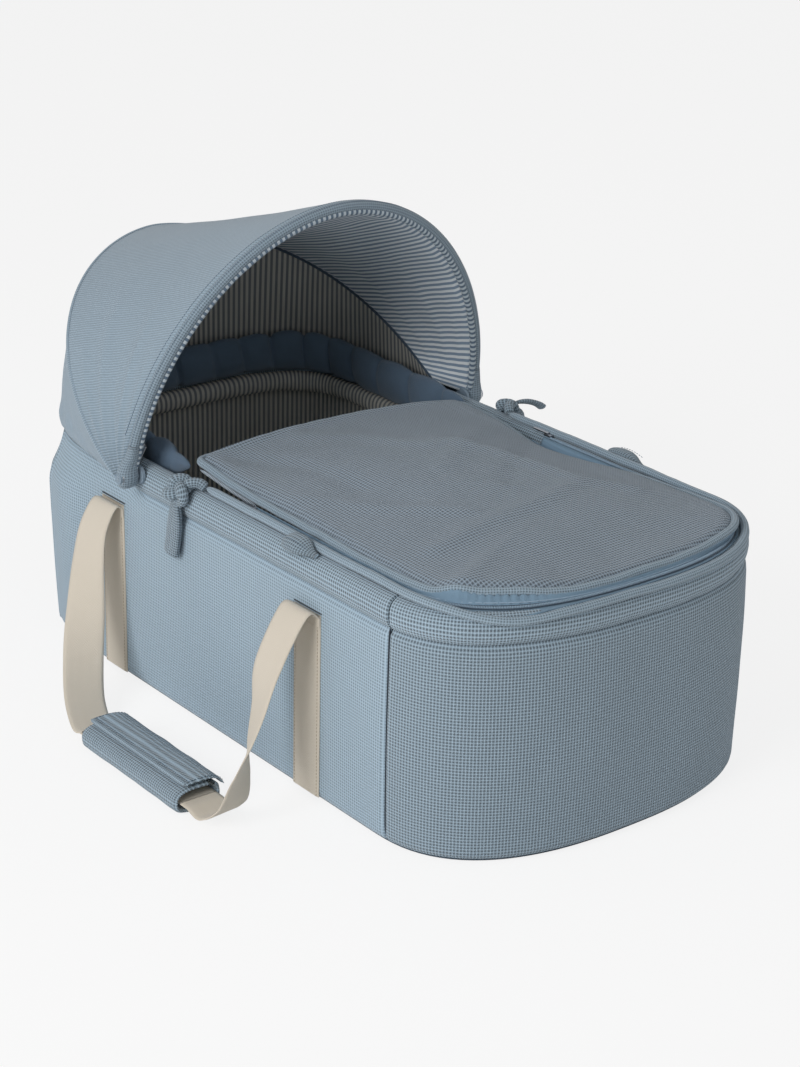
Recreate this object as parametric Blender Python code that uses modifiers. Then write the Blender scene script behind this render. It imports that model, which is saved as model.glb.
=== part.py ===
"""A soft carrycot: padded basket, folding two-bow hood, zipped apron and webbing handles.

Frame: +X across the cot, +Y towards the hood, +Z up, origin at the middle of the
underside, on the floor. Lengths are in metres. Left is the -X side.
"""

import math

import bmesh
import bpy
from mathutils import Matrix, Vector

# Clearances
GAP = 0.0003                 # between pieces that touch
ROLL_GAP = 0.0008            # between stuffed rolls, which meet on facets
OVERRUN = 0.002              # how far a cutter passes the face it cuts

# Basket outline, seen from above
BODY_LENGTH = 0.746
BODY_WIDTH = 0.400
FOOT_ROUND = 0.133           # length of the rounded foot end
HEAD_ROUND = 0.186           # length of the rounded head end
FOOT_POWER = 2.53            # squareness of the foot end's curve
HEAD_POWER = 3.40
SIDE_STEPS = 10
FOOT_STEPS = 24
HEAD_STEPS = 26
FOOT_SEAM_STEPS = 1          # steps into the foot curve where the side panel ends
HEAD_SEAM_STEPS = 5

# Walls, from the outside in
WALL_HEIGHT = 0.208          # seam between wall and rim roll
PANEL_THICKNESS = 0.004
PANEL_CURL = 0.008           # radius that the panel turns under the floor with
SEAM_SLIT = 0.0016
BOARD_THICKNESS = 0.010
LINER_THICKNESS = 0.006
LINER_DROP = 0.006

# Floor
UNDERSIDE_THICKNESS = 0.003
UNDERSIDE_INSET = 0.004
BASE_THICKNESS = 0.004
MATTRESS_THICKNESS = 0.032
MATTRESS_CROWN = 0.010
MATTRESS_EDGE = 0.006        # how far its top and bottom edges draw in
MATTRESS_CLEARANCE = 0.002

# Stuffed rolls round the rim
RIM_HALF_WIDTH = 0.0125
RIM_HEIGHT = 0.031
RIM_BULGE = 0.0025           # how far the roll stands outside the wall
ROLL_SIDES = 12
BUMPER_SIDES = 8
BUMPER_HALF_WIDTH = 0.011
BUMPER_HEIGHT = 0.044
BUMPER_LIFT = 0.0055         # its lowest point above the wall seam, along the sides
BUMPER_HEAD_RISE = 0.0105    # how much higher it lies at the head end
BUMPER_GATHER = 0.0018       # depth of its puckers
BUMPER_GATHER_PITCH = 0.045
BUMPER_STEP_SHARE = 0.25     # length of one step along it, of the pitch
BUMPER_TAPER = 0.030
LINER_ROLL_HALF_WIDTH = 0.009
LINER_ROLL_HEIGHT = 0.020
LINER_ROLL_START = 0.100     # where it starts, along Y
BUMPER_PAST_APRON = 0.002    # clearance from the apron's piping to the bumper's end

# Piping and zip on top of the rim
PIPING_RADIUS = 0.004
LOWER_PIPING_START = 0.034
LOWER_PIPING_SIDE_TILT = 6.0    # degrees round the roll from its top, inwards
LOWER_PIPING_FOOT_TILT = -28.0
ZIP_START = -0.030
ZIP_TAPE_THICKNESS = 0.0008
LOWER_TAPE_WIDTH = 0.0018
COIL_WIDTH = 0.0028
COIL_THICKNESS = 0.002
UPPER_TAPE_WIDTH_SIDE = 0.0010
UPPER_TAPE_WIDTH_FOOT = 0.0080
UPPER_TAPE_RISE_SIDE = 0.0075
UPPER_TAPE_RISE_FOOT = 0.0085
SLIDER_LENGTH = 0.010
SLIDER_WIDTH = 0.0046
SLIDER_THICKNESS = 0.0028
PULL_LENGTH = 0.022
PULL_WIDTH = 0.0040
PULL_THICKNESS = 0.0012
PULL_OVERLAP = 0.004

# Apron: the padded cover over the foot half
APRON_HEAD_EDGE = 0.087      # along Y
APRON_HEAD_TAPER = 0.008     # narrower at the head edge, each side
APRON_EDGE_THICKNESS = 0.006
APRON_CROWN = 0.026
APRON_HEAD_CROWN_SHARE = 0.52
APRON_CREST = -0.080         # along Y, where the crown is highest
APRON_UNDER_SHARE = 0.72     # crown of the underside, of the crown on top
APRON_POWER = 2.2
APRON_HEAD_STEPS = 10
PAD_TOP_SHARES = (1.0, 0.94, 0.80, 0.58, 0.32, 0.0)
PAD_UNDER_SHARES = (1.0, 0.92, 0.60, 0.0)

# Fabric ties
TIE_WIDTH = 0.013
TIE_THICKNESS = 0.0035
TIE_Y = 0.055
TIE_TAIL = 0.066
KNOT_RADIUS = 0.0085
KNOT_DEPTH_SHARE = 0.80
STUB_Y = -0.155
STUB_LENGTH = 0.046
STUB_WIDTH = 0.015
STUB_THICKNESS = 0.0042

# Hood
PIVOT_Y = 0.129
PIVOT_HEIGHT = 0.232
BOW_RADIUS = 0.0025
EYE_RADIUS = 0.0070
EYE_THICKNESS = 0.0056
PIN_RADIUS = 0.0030
PIN_CLEARANCE = 0.0004
PIN_HEAD_RADIUS = 0.0055
PIN_HEAD_THICKNESS = 0.0018
PIVOT_PLATE_RADIUS = 0.0100
PIVOT_PLATE_THICKNESS = 0.0030
FRONT_BOW_OUTSET = 0.0156    # bow outside the wall, each side
FRONT_REACH = 0.255          # from the pivot axis to the bow's top
FRONT_ANGLE = 102.4          # degrees, from +Y up towards +Z
FRONT_CURVE = (1.03, 1.03)   # powers of the cosine and the sine
REAR_BOW_OUTSET = 0.0232
REAR_REACH = 0.318
REAR_ANGLE = 28.6
REAR_CURVE = (1.15, 0.98)
BOW_STEPS = 28
HEM_RADIUS = 0.0055
HEM_BORE_RADIUS = 0.0031
HEM_START = 6.0              # degrees along the front bow
CANOPY_THICKNESS = 0.0016
CANOPY_OFFSET = 0.0042       # canopy outside the bows, lining inside them
CANOPY_START = 7.0           # degrees along the bows
CANOPY_STEPS = 24
CANOPY_ROWS = 6
CANOPY_SEAM = 0.0022
LINING_SEAM = 0.0030
BACK_BULGE = 0.005
BACK_EDGE_OUTSET = 0.0052
BACK_EDGE_HEIGHT = 0.2255
LINING_EDGE_INSET = 0.008
LINING_EDGE_LIFT = 0.0012    # above the rim roll's top
LINING_SLACK = 0.004

# Webbing handles
WEBBING_WIDTH = 0.040
WEBBING_THICKNESS = 0.0020
SLOT_HEIGHT = 0.189
WEBBING_LOW = 0.006          # lower end of the stitched webbing
FOOT_STRAP_BACK = 0.225      # from the foot end to the strap slots there
HEAD_STRAP_BACK = 0.192
GRIP_REACH = 0.100           # from the wall to the grip's middle
GRIP_LENGTH = 0.1655
GRIP_SHIFT = -0.04925        # of the grip's middle from the slots' middle
GRIP_WIDTH = 0.050
GRIP_HEIGHT = 0.026
GRIP_WALL = 0.0042
GRIP_POWER = 2.7             # squareness of the grip's section
GRIP_FLAT = 0.0005
GRIP_SIDES = 22
GRIP_SEAM_SHARE = 0.06       # gap of the wrap's seam, of its way round
GRIP_SEAM_MIDDLE_SHARE = -0.10  # place of the seam, from the grip's top
FLAP_THICKNESS = 0.0025
FLAP_SHARE = 0.26            # flap's way round the wrap
PATCH_THICKNESS = 0.0009
PATCH_SHARE = 0.09
PATCH_LENGTH_SHARE = 0.80
BARE_REACH = 0.085           # from the wall to the bare handle's middle
FLOOR_LIFT = 0.0006
STRAP_RINGS = 20
STRAP_END_RUN = 0.010        # last, straight run into the handle's middle stretch

# Colours and finishes: red, green, blue, roughness, metallic
BLUE = (0.262, 0.352, 0.447, 0.92, 0.0)
BLUE_DARK = (0.180, 0.250, 0.330, 0.92, 0.0)
BLUE_SMOOTH = (0.150, 0.230, 0.330, 0.85, 0.0)
STRIPE = (0.560, 0.580, 0.580, 0.90, 0.0)
ZIP_BLUE = (0.330, 0.470, 0.600, 0.60, 0.0)
CREAM = (0.720, 0.640, 0.520, 0.85, 0.0)
FOAM = (0.780, 0.770, 0.740, 0.95, 0.0)
BOARD = (0.450, 0.330, 0.210, 0.80, 0.0)
MESH = (0.100, 0.140, 0.190, 0.95, 0.0)
PLASTIC = (0.060, 0.070, 0.080, 0.45, 0.0)
STEEL = (0.600, 0.610, 0.620, 0.35, 1.0)

# Heights and insets that follow from the sizes above
FLOOR_TOP = UNDERSIDE_THICKNESS + GAP
BASE_TOP = FLOOR_TOP + BASE_THICKNESS
BOARD_INSET = PANEL_THICKNESS + GAP
LINER_INSET = BOARD_INSET + BOARD_THICKNESS + GAP
LINER_FACE = LINER_INSET + LINER_THICKNESS
RIM_INSET = RIM_HALF_WIDTH - RIM_BULGE
RIM_MIDDLE = WALL_HEIGHT + GAP + RIM_HEIGHT / 2
RIM_TOP = WALL_HEIGHT + GAP + RIM_HEIGHT
HALF_WIDTH = BODY_WIDTH / 2
FOOT_START = FOOT_ROUND - BODY_LENGTH / 2
HEAD_START = BODY_LENGTH / 2 - HEAD_ROUND
FRONT_HALF_WIDTH = HALF_WIDTH + FRONT_BOW_OUTSET
REAR_HALF_WIDTH = HALF_WIDTH + REAR_BOW_OUTSET
FOOT_STRAP_Y = FOOT_STRAP_BACK - BODY_LENGTH / 2
HEAD_STRAP_Y = BODY_LENGTH / 2 - HEAD_STRAP_BACK
GRIP_MIDDLE_Y = (FOOT_STRAP_Y + HEAD_STRAP_Y) / 2 + GRIP_SHIFT


def fresh_scene():
    """Removes the scene's objects and makes the part's two collections."""
    for old in list(bpy.data.objects):
        bpy.data.objects.remove(old)
    made = []
    for name in ("carrycot", "cutters"):
        group = bpy.data.collections.new(name)
        bpy.context.scene.collection.children.link(group)
        made.append(group)
    made[1].hide_render = True
    return made


PARTS, CUTTERS = fresh_scene()
MATERIALS = {}


def finish_of(name, values):
    """One material for each finish, made once."""
    if name not in MATERIALS:
        made = bpy.data.materials.new(name)
        made.use_nodes = True
        shader = made.node_tree.nodes["Principled BSDF"]
        shader.inputs["Base Color"].default_value = (*values[:3], 1.0)
        shader.inputs["Roughness"].default_value = values[3]
        shader.inputs["Metallic"].default_value = values[4]
        made.diffuse_color = (*values[:3], 1.0)
        MATERIALS[name] = made
    return MATERIALS[name]


def add_object(name, data, finish, group=None):
    """Links an object that holds this mesh or curve, in its own material."""
    made = bpy.data.objects.new(name, data)
    (group or PARTS).objects.link(made)
    data.materials.append(finish_of(name + "_finish", finish))
    return made


def as_cutter(obj):
    """Keeps a helper out of the render."""
    obj.hide_render = True
    obj.display_type = "WIRE"
    return obj


def smooth_step(share):
    share = min(max(share, 0.0), 1.0)
    return share * share * (3 - 2 * share)


def mix(first, last, share):
    return first + (last - first) * share


# Outline stations: every wall, roll and cord of piping follows these


def corner_curve(depth, power, side, steps):
    """Points and outward normals of a rounded end, from -X to +X, evenly spaced."""
    def at(angle):
        cosine = math.cos(angle)
        sine = math.sin(angle)
        across = math.copysign(abs(cosine) ** (2 / power), cosine)
        along = abs(sine) ** (2 / power)
        normal = Vector((-math.copysign(abs(across) ** (power - 1), across) / HALF_WIDTH,
                         side * along ** (power - 1) / depth))
        return Vector((-HALF_WIDTH * across, side * depth * along)), normal.normalized()
    dense = [at(math.pi * i / 2000) for i in range(2001)]
    lengths = [0.0]
    for before, after in zip(dense, dense[1:]):
        lengths.append(lengths[-1] + (after[0] - before[0]).length)
    found = []
    k = 0
    for step in range(steps + 1):
        target = lengths[-1] * step / steps
        while k < len(lengths) - 1 and lengths[k] < target:
            k += 1
        found.append(dense[k])
    return found


def outline_stations():
    """Stations anticlockwise from the left side's head end, as (point, outward normal)."""
    left = Vector((-1, 0))
    right = Vector((1, 0))
    found = []
    for i in range(SIDE_STEPS):
        y = mix(HEAD_START, FOOT_START, i / SIDE_STEPS)
        found.append((Vector((-HALF_WIDTH, y)), left))
    shift = Vector((0, FOOT_START))
    for point, normal in corner_curve(FOOT_ROUND, FOOT_POWER, -1, FOOT_STEPS):
        found.append((point + shift, normal))
    for i in range(1, SIDE_STEPS):
        y = mix(FOOT_START, HEAD_START, i / SIDE_STEPS)
        found.append((Vector((HALF_WIDTH, y)), right))
    shift = Vector((0, HEAD_START))
    head = corner_curve(HEAD_ROUND, HEAD_POWER, 1, HEAD_STEPS)
    for point, normal in reversed(head):
        found.append((point + shift, normal))
    return found[:-1]


STATIONS = outline_stations()
LEFT_FOOT = SIDE_STEPS
RIGHT_FOOT = LEFT_FOOT + FOOT_STEPS
RIGHT_HEAD = RIGHT_FOOT + SIDE_STEPS
LAST = RIGHT_HEAD + HEAD_STEPS


def station(index):
    """Point and normal at a station, which may be a fraction or wrap round."""
    low = math.floor(index)
    share = index - low
    point, normal = STATIONS[low % LAST]
    if share < 1e-9:
        return point, normal
    next_point, next_normal = STATIONS[(low + 1) % LAST]
    return point.lerp(next_point, share), normal.lerp(next_normal, share).normalized()


def side_index(y, right=False):
    """The station index where a straight side passes this y."""
    share = (HEAD_START - y) / (HEAD_START - FOOT_START)
    return RIGHT_HEAD - share * SIDE_STEPS if right else share * SIDE_STEPS


def index_run(first, last):
    """Station indices from first to last, with the whole ones between them."""
    inside = [i for i in range(math.ceil(first + 1e-6), math.ceil(last - 1e-6))]
    return [first] + inside + [last]


def index_step(index, distance):
    """A short distance along the outline, as a step of the station index there."""
    return distance / (station(index + 0.5)[0] - station(index - 0.5)[0]).length


def even_run(first, last, step):
    """Station indices from first to last, evenly spaced along the outline."""
    fine = [mix(first, last, i / 800) for i in range(801)]
    lengths = [0.0]
    for before, after in zip(fine, fine[1:]):
        lengths.append(lengths[-1] + (station(after)[0] - station(before)[0]).length)
    count = max(2, round(lengths[-1] / step))
    found = []
    k = 0
    for i in range(count + 1):
        while k < len(fine) - 1 and lengths[k] < lengths[-1] * i / count:
            k += 1
        found.append(fine[k])
    return found


def place(index, inset, height):
    """A point at this inset from the outline and this height."""
    point, normal = station(index)
    moved = point - normal * inset
    return Vector((moved.x, moved.y, height))


# Builders of solids


def loft(name, rings, finish, capped=True, group=None):
    """A closed solid through rings of points that match one to one."""
    mesh = bmesh.new()
    rows = [[mesh.verts.new(point) for point in ring] for ring in rings]
    for row, after in zip(rows, rows[1:]):
        for i, corner in enumerate(row):
            j = (i + 1) % len(row)
            mesh.faces.new((corner, row[j], after[j], after[i]))
    if capped:
        mesh.faces.new(list(reversed(rows[0])))
        mesh.faces.new(rows[-1])
    bmesh.ops.remove_doubles(mesh, verts=mesh.verts, dist=1e-6)
    bmesh.ops.dissolve_degenerate(mesh, edges=mesh.edges, dist=1e-6)
    bmesh.ops.recalc_face_normals(mesh, faces=mesh.faces)
    data = bpy.data.meshes.new(name)
    mesh.to_mesh(data)
    mesh.free()
    made = add_object(name, data, finish, group)
    data.shade_smooth()
    data.set_sharp_from_angle(angle=math.radians(40))
    return made


def wall(name, first, last, profile, finish):
    """A wall along the outline: profile is a closed list of (inset, height)."""
    rings = []
    for index in index_run(first, last):
        rings.append([place(index, inset, height) for inset, height in profile])
    return loft(name, rings, finish)


def oval_profile(inset, middle, half_width, half_height, sides=ROLL_SIDES):
    """A closed oval as a list of (inset, height), with a flat at each end of its width and height."""
    found = []
    full = 1 / math.cos(math.pi / sides)
    for i in range(sides):
        turn = 2 * math.pi * (i + 0.5) / sides
        found.append((inset + half_width * full * math.cos(turn),
                      middle + half_height * full * math.sin(turn)))
    return found


def slab(name, inset, low, high, finish):
    """A flat board in the basket's outline."""
    mesh = bmesh.new()
    corners = [mesh.verts.new(place(i, inset, low)) for i in range(LAST)]
    face = mesh.faces.new(corners)
    raised = bmesh.ops.extrude_face_region(mesh, geom=[face])
    lifted = [item for item in raised["geom"] if isinstance(item, bmesh.types.BMVert)]
    bmesh.ops.translate(mesh, verts=lifted, vec=(0, 0, high - low))
    bmesh.ops.recalc_face_normals(mesh, faces=mesh.faces)
    data = bpy.data.meshes.new(name)
    mesh.to_mesh(data)
    mesh.free()
    return add_object(name, data, finish)


def crowned_pad(name, outline, spine, top, bottom, finish):
    """A closed pad whose rings shrink from its outline to a spine along Y."""
    def ring(share, height):
        points = []
        for edge in outline:
            middle = Vector((0, min(max(edge.y, spine[0]), spine[1])))
            spot = middle + (edge - middle) * share
            points.append(Vector((spot.x, spot.y, height(spot, share))))
        return points
    rings = [ring(share, bottom) for share in reversed(PAD_UNDER_SHARES)]
    rings += [ring(share, top) for share in PAD_TOP_SHARES]
    return loft(name, rings, finish, capped=False)


def tube(name, points, radius, finish, resolution=2, capped=True, group=None):
    """A round tube along points, as a curve object."""
    curve = bpy.data.curves.new(name, "CURVE")
    curve.dimensions = "3D"
    curve.bevel_depth = radius
    curve.bevel_resolution = resolution
    curve.use_fill_caps = capped
    spline = curve.splines.new("POLY")
    spline.points.add(len(points) - 1)
    for spot, point in zip(spline.points, points):
        spot.co = (*point, 1.0)
    return add_object(name, curve, finish, group)


def as_mesh(obj):
    """Replaces a curve object by its mesh, with the caps welded on."""
    graph = bpy.context.evaluated_depsgraph_get()
    data = bpy.data.meshes.new_from_object(obj.evaluated_get(graph))
    name = obj.name
    group = obj.users_collection[0]
    matrix = obj.matrix_world.copy()
    bpy.data.objects.remove(obj)
    mesh = bmesh.new()
    mesh.from_mesh(data)
    bmesh.ops.remove_doubles(mesh, verts=mesh.verts, dist=1e-6)
    bmesh.ops.recalc_face_normals(mesh, faces=mesh.faces)
    mesh.to_mesh(data)
    mesh.free()
    made = bpy.data.objects.new(name, data)
    made.matrix_world = matrix
    group.objects.link(made)
    return made


def cylinder_along_x(name, radius, first_x, last_x, y, z, segments=20):
    """A hidden cylinder along X, for a Boolean."""
    mesh = bmesh.new()
    turn = Matrix.Translation(((first_x + last_x) / 2, y, z)) @ Matrix.Rotation(math.pi / 2, 4, "Y")
    bmesh.ops.create_cone(mesh, cap_ends=True, segments=segments, radius1=radius, radius2=radius,
                          depth=abs(last_x - first_x), matrix=turn)
    data = bpy.data.meshes.new(name)
    mesh.to_mesh(data)
    mesh.free()
    return as_cutter(add_object(name, data, STEEL, CUTTERS))


def combine(obj, other, operation):
    """Joins or cuts with another object."""
    change = obj.modifiers.new(operation.lower(), "BOOLEAN")
    change.operation = operation
    change.object = other
    return change


def block(name, low, high, finish, bevel=0.0):
    """A box between two corners, its edges rounded."""
    mesh = bmesh.new()
    size = Vector(high) - Vector(low)
    middle = (Vector(high) + Vector(low)) / 2
    bmesh.ops.create_cube(mesh, size=1.0, matrix=Matrix.Translation(middle) @ Matrix.Diagonal((*size, 1.0)))
    data = bpy.data.meshes.new(name)
    mesh.to_mesh(data)
    mesh.free()
    made = add_object(name, data, finish)
    if bevel:
        rounding = made.modifiers.new("rounding", "BEVEL")
        rounding.width = bevel
        rounding.segments = 2
    return made


# Basket


def build_floor():
    slab("underside_panel", UNDERSIDE_INSET, 0.0, UNDERSIDE_THICKNESS, MESH)
    slab("base_board", PANEL_CURL + GAP, FLOOR_TOP, BASE_TOP, BOARD)


def panel_profile():
    """Cross-section of an outer panel: an upright wall that turns under at the floor."""
    inner = PANEL_CURL - PANEL_THICKNESS
    outside = [(0.0, WALL_HEIGHT)]
    inside = []
    for degrees in (0, 30, 60, 90):
        sine = math.sin(math.radians(degrees))
        cosine = math.cos(math.radians(degrees))
        outside.append((PANEL_CURL * (1 - cosine), FLOOR_TOP + PANEL_CURL * (1 - sine)))
        inside.append((PANEL_CURL - inner * cosine, FLOOR_TOP + PANEL_CURL - inner * sine))
    return outside + inside[::-1] + [(PANEL_THICKNESS, WALL_HEIGHT)]


def box_profile(inset, thickness, low, high):
    return [(inset, low), (inset + thickness, low), (inset + thickness, high), (inset, high)]


def wall_spans(slit):
    """The four stretches of the outline between the wall seams, a slit apart."""
    foot_left = LEFT_FOOT + FOOT_SEAM_STEPS
    foot_right = RIGHT_FOOT - FOOT_SEAM_STEPS
    head_right = RIGHT_HEAD + HEAD_SEAM_STEPS
    head_left = LAST - HEAD_SEAM_STEPS
    foot_half = index_step(foot_left, slit / 2)
    head_half = index_step(head_left, slit / 2)
    return {
        "left_side": (head_left - LAST + head_half, foot_left - foot_half),
        "foot_end": (foot_left + foot_half, foot_right - foot_half),
        "right_side": (foot_right + foot_half, head_right - head_half),
        "head_end": (head_right + head_half, head_left - head_half),
    }


def build_walls():
    for name, (first, last) in wall_spans(SEAM_SLIT).items():
        wall(name + "_panel", first, last, panel_profile(), BLUE)
    board_low = FLOOR_TOP + PANEL_CURL + GAP
    board = box_profile(BOARD_INSET, BOARD_THICKNESS, board_low, WALL_HEIGHT)
    liner = box_profile(LINER_INSET, LINER_THICKNESS, BASE_TOP + GAP, WALL_HEIGHT - LINER_DROP)
    for name, (first, last) in wall_spans(SEAM_SLIT).items():
        wall(name + "_board", first, last, board, FOAM)
        wall(name + "_liner", first, last, liner, STRIPE)


def build_rim():
    profile = oval_profile(RIM_INSET, RIM_MIDDLE, RIM_HALF_WIDTH, RIM_HEIGHT / 2)
    for name, (first, last) in wall_spans(SEAM_SLIT).items():
        wall(name + "_rim_roll", first, last, profile, BLUE)


def reach_at(half_width, half_height, sides, level):
    """Half the width of a faceted roll at a level above or below its middle, or None past it."""
    corners = oval_profile(0.0, 0.0, half_width, half_height, sides)
    for (x, z), (next_x, next_z) in zip(corners, corners[1:] + corners[:1]):
        if max(x, next_x) > 0 and z != next_z and min(z, next_z) <= level <= max(z, next_z):
            return mix(x, next_x, (level - z) / (next_z - z))
    return None


def roll_contact_inset(half_width, half_height, middle, sides):
    """The inset at which an inner roll just clears the rim roll and the wall's liner."""
    best = 0.0
    for i in range(61):
        level = mix(middle - half_height, middle + half_height, i / 60)
        own_edge = reach_at(half_width, half_height, sides, level - middle)
        rim_edge = reach_at(RIM_HALF_WIDTH, RIM_HEIGHT / 2, ROLL_SIDES, level - RIM_MIDDLE)
        if own_edge is not None and rim_edge is not None:
            best = max(best, RIM_INSET + rim_edge + ROLL_GAP + own_edge)
        if own_edge is not None and level < WALL_HEIGHT - LINER_DROP:
            best = max(best, LINER_FACE + ROLL_GAP + own_edge)
    return best


def bumper_low(index):
    """Height of the bumper's lowest point, which rises towards the head end's middle."""
    middle = (RIGHT_HEAD + LAST) / 2
    reach = HEAD_STEPS / 2
    share = smooth_step((reach - abs(index - middle)) / (reach * 0.8))
    return WALL_HEIGHT + BUMPER_LIFT + BUMPER_HEAD_RISE * share


def build_bumper():
    """The gathered roll inside the rim, round the head end."""
    start_y = APRON_HEAD_EDGE + PIPING_RADIUS + BUMPER_PAST_APRON
    step = BUMPER_GATHER_PITCH * BUMPER_STEP_SHARE
    indices = even_run(side_index(start_y, right=True), LAST + side_index(start_y), step)
    total = step * (len(indices) - 1)
    rings = []
    for i, index in enumerate(indices):
        way = step * i
        end_share = min(way, total - way) / BUMPER_TAPER
        swell = mix(0.62, 1.0, smooth_step(end_share))
        pucker = abs(math.cos(math.pi * way / BUMPER_GATHER_PITCH)) ** 6
        half_width = BUMPER_HALF_WIDTH * swell - BUMPER_GATHER * pucker
        half_height = BUMPER_HEIGHT / 2 * swell - BUMPER_GATHER * pucker
        low = bumper_low(index)
        inset = roll_contact_inset(half_width, half_height, low + half_height, BUMPER_SIDES)
        profile = oval_profile(inset, low + half_height, half_width, half_height, BUMPER_SIDES)
        rings.append([place(index, *spot) for spot in profile])
    loft("head_bumper", rings, BLUE_SMOOTH)


def build_liner_roll():
    """The small striped roll under the bumper."""
    half_height = LINER_ROLL_HEIGHT / 2
    rings = []
    for index in index_run(side_index(LINER_ROLL_START, right=True),
                           LAST + side_index(LINER_ROLL_START)):
        middle = bumper_low(index) - ROLL_GAP - half_height
        inset = roll_contact_inset(LINER_ROLL_HALF_WIDTH, half_height, middle, BUMPER_SIDES)
        profile = oval_profile(inset, middle, LINER_ROLL_HALF_WIDTH, half_height, BUMPER_SIDES)
        rings.append([place(index, *spot) for spot in profile])
    loft("liner_roll", rings, STRIPE)


def mattress_outline():
    inset = LINER_FACE + MATTRESS_CLEARANCE
    return [place(i, inset, 0).to_2d() for i in range(LAST)]


def build_mattress():
    low = BASE_TOP + GAP

    def top(spot, share):
        return low + MATTRESS_THICKNESS - MATTRESS_EDGE + MATTRESS_CROWN * (1 - share ** 4)

    def bottom(spot, share):
        return low + MATTRESS_EDGE * smooth_step((share - 0.94) / 0.06)
    crowned_pad("mattress", mattress_outline(), (FOOT_START, HEAD_START), top, bottom, FOAM)


# Zip and piping on the rim


def foot_share(index):
    """0 along the straight sides, 1 round the foot end."""
    middle = (LEFT_FOOT + RIGHT_FOOT) / 2
    reach = FOOT_STEPS / 2
    return smooth_step((reach - abs(index - middle)) / (reach * 0.6))


def lower_piping_spot(index):
    """Inset and height of the lower piping's middle, which lies on the rim roll."""
    tilt = math.radians(mix(LOWER_PIPING_SIDE_TILT, LOWER_PIPING_FOOT_TILT, foot_share(index)))
    reach = PIPING_RADIUS + ROLL_GAP
    return (RIM_INSET + (RIM_HALF_WIDTH + reach) * math.sin(tilt),
            RIM_MIDDLE + (RIM_HEIGHT / 2 + reach) * math.cos(tilt))


def rim_surface(inset):
    """Height of the rim roll's top at an inset."""
    share = min(abs(inset - RIM_INSET) / RIM_HALF_WIDTH, 0.98)
    return RIM_MIDDLE + RIM_HEIGHT / 2 * math.sqrt(1 - share ** 2)


def zip_lanes(index):
    """Insets and heights of the zip's strands, worked out inwards from the lower piping."""
    piping_inset, piping_height = lower_piping_spot(index)
    tape = piping_inset + PIPING_RADIUS + GAP
    coil = tape + LOWER_TAPE_WIDTH + GAP
    level = max(rim_surface(tape), rim_surface(coil), rim_surface(coil + COIL_WIDTH)) + ROLL_GAP
    upper = coil + COIL_WIDTH + GAP
    width = mix(UPPER_TAPE_WIDTH_SIDE, UPPER_TAPE_WIDTH_FOOT, foot_share(index))
    rise = mix(UPPER_TAPE_RISE_SIDE, UPPER_TAPE_RISE_FOOT, foot_share(index))
    return {"tape": tape, "coil": coil, "level": level, "upper": upper, "width": width, "rise": rise,
            "piping": (upper + width + PIPING_RADIUS + GAP, level + rise + ZIP_TAPE_THICKNESS / 2)}


def slanted_tape(lane):
    """The upper tape's section: as thick square to its slope as the lower tape is."""
    lean = Vector((lane["width"], lane["rise"])).normalized()
    inward = ZIP_TAPE_THICKNESS * lean.y
    down = ZIP_TAPE_THICKNESS * lean.x
    start = lane["upper"]
    end = start + lane["width"] - inward
    top = lane["level"] + lane["rise"] + down
    return [(start + inward, lane["level"]), (end + inward, top - down), (end, top),
            (start, lane["level"] + down)]


def foot_run(start_y):
    """Station indices from the left side's start_y round the foot to the right side's."""
    return index_run(side_index(start_y), side_index(start_y, right=True))


def build_zip():
    run = foot_run(LOWER_PIPING_START)
    tube("lower_piping", [place(i, *lower_piping_spot(i)) for i in run], PIPING_RADIUS, BLUE)
    tape_rings = []
    coil_rings = []
    upper_rings = []
    for index in foot_run(ZIP_START):
        lane = zip_lanes(index)
        level = lane["level"]
        tape = box_profile(lane["tape"], LOWER_TAPE_WIDTH, level, level + ZIP_TAPE_THICKNESS)
        coil = box_profile(lane["coil"], COIL_WIDTH, level, level + COIL_THICKNESS)
        upper = slanted_tape(lane)
        tape_rings.append([place(index, *spot) for spot in tape])
        coil_rings.append([place(index, *spot) for spot in coil])
        upper_rings.append([place(index, *spot) for spot in upper])
    loft("lower_zip_tape", tape_rings, ZIP_BLUE)
    loft("zip_coil", coil_rings, ZIP_BLUE)
    loft("upper_zip_tape", upper_rings, ZIP_BLUE)


def build_sliders():
    """A slider at each end of the zip, with its pull tab lying towards the head."""
    lane = zip_lanes(side_index(ZIP_START))
    low = lane["level"] + COIL_THICKNESS + GAP
    middle = HALF_WIDTH - lane["coil"] - COIL_WIDTH + SLIDER_WIDTH / 2
    for name, side in (("left", -1), ("right", 1)):
        x = side * middle
        head_end = ZIP_START - GAP
        block(name + "_zip_slider",
              (x - SLIDER_WIDTH / 2, head_end - SLIDER_LENGTH, low),
              (x + SLIDER_WIDTH / 2, head_end, low + SLIDER_THICKNESS), STEEL, SLIDER_THICKNESS / 5)
        pull_low = low + SLIDER_THICKNESS + GAP
        block(name + "_zip_pull",
              (x - PULL_WIDTH / 2, head_end - SLIDER_LENGTH / 2, pull_low),
              (x + PULL_WIDTH / 2, head_end - SLIDER_LENGTH / 2 + PULL_LENGTH,
               pull_low + PULL_THICKNESS), STEEL, PULL_THICKNESS / 5)


# Apron


def apron_taper(y):
    """How much further in the apron's edge lies than the zip, towards the head."""
    share = (y - FOOT_START) / (APRON_HEAD_EDGE - FOOT_START)
    return APRON_HEAD_TAPER * smooth_step(share)


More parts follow.
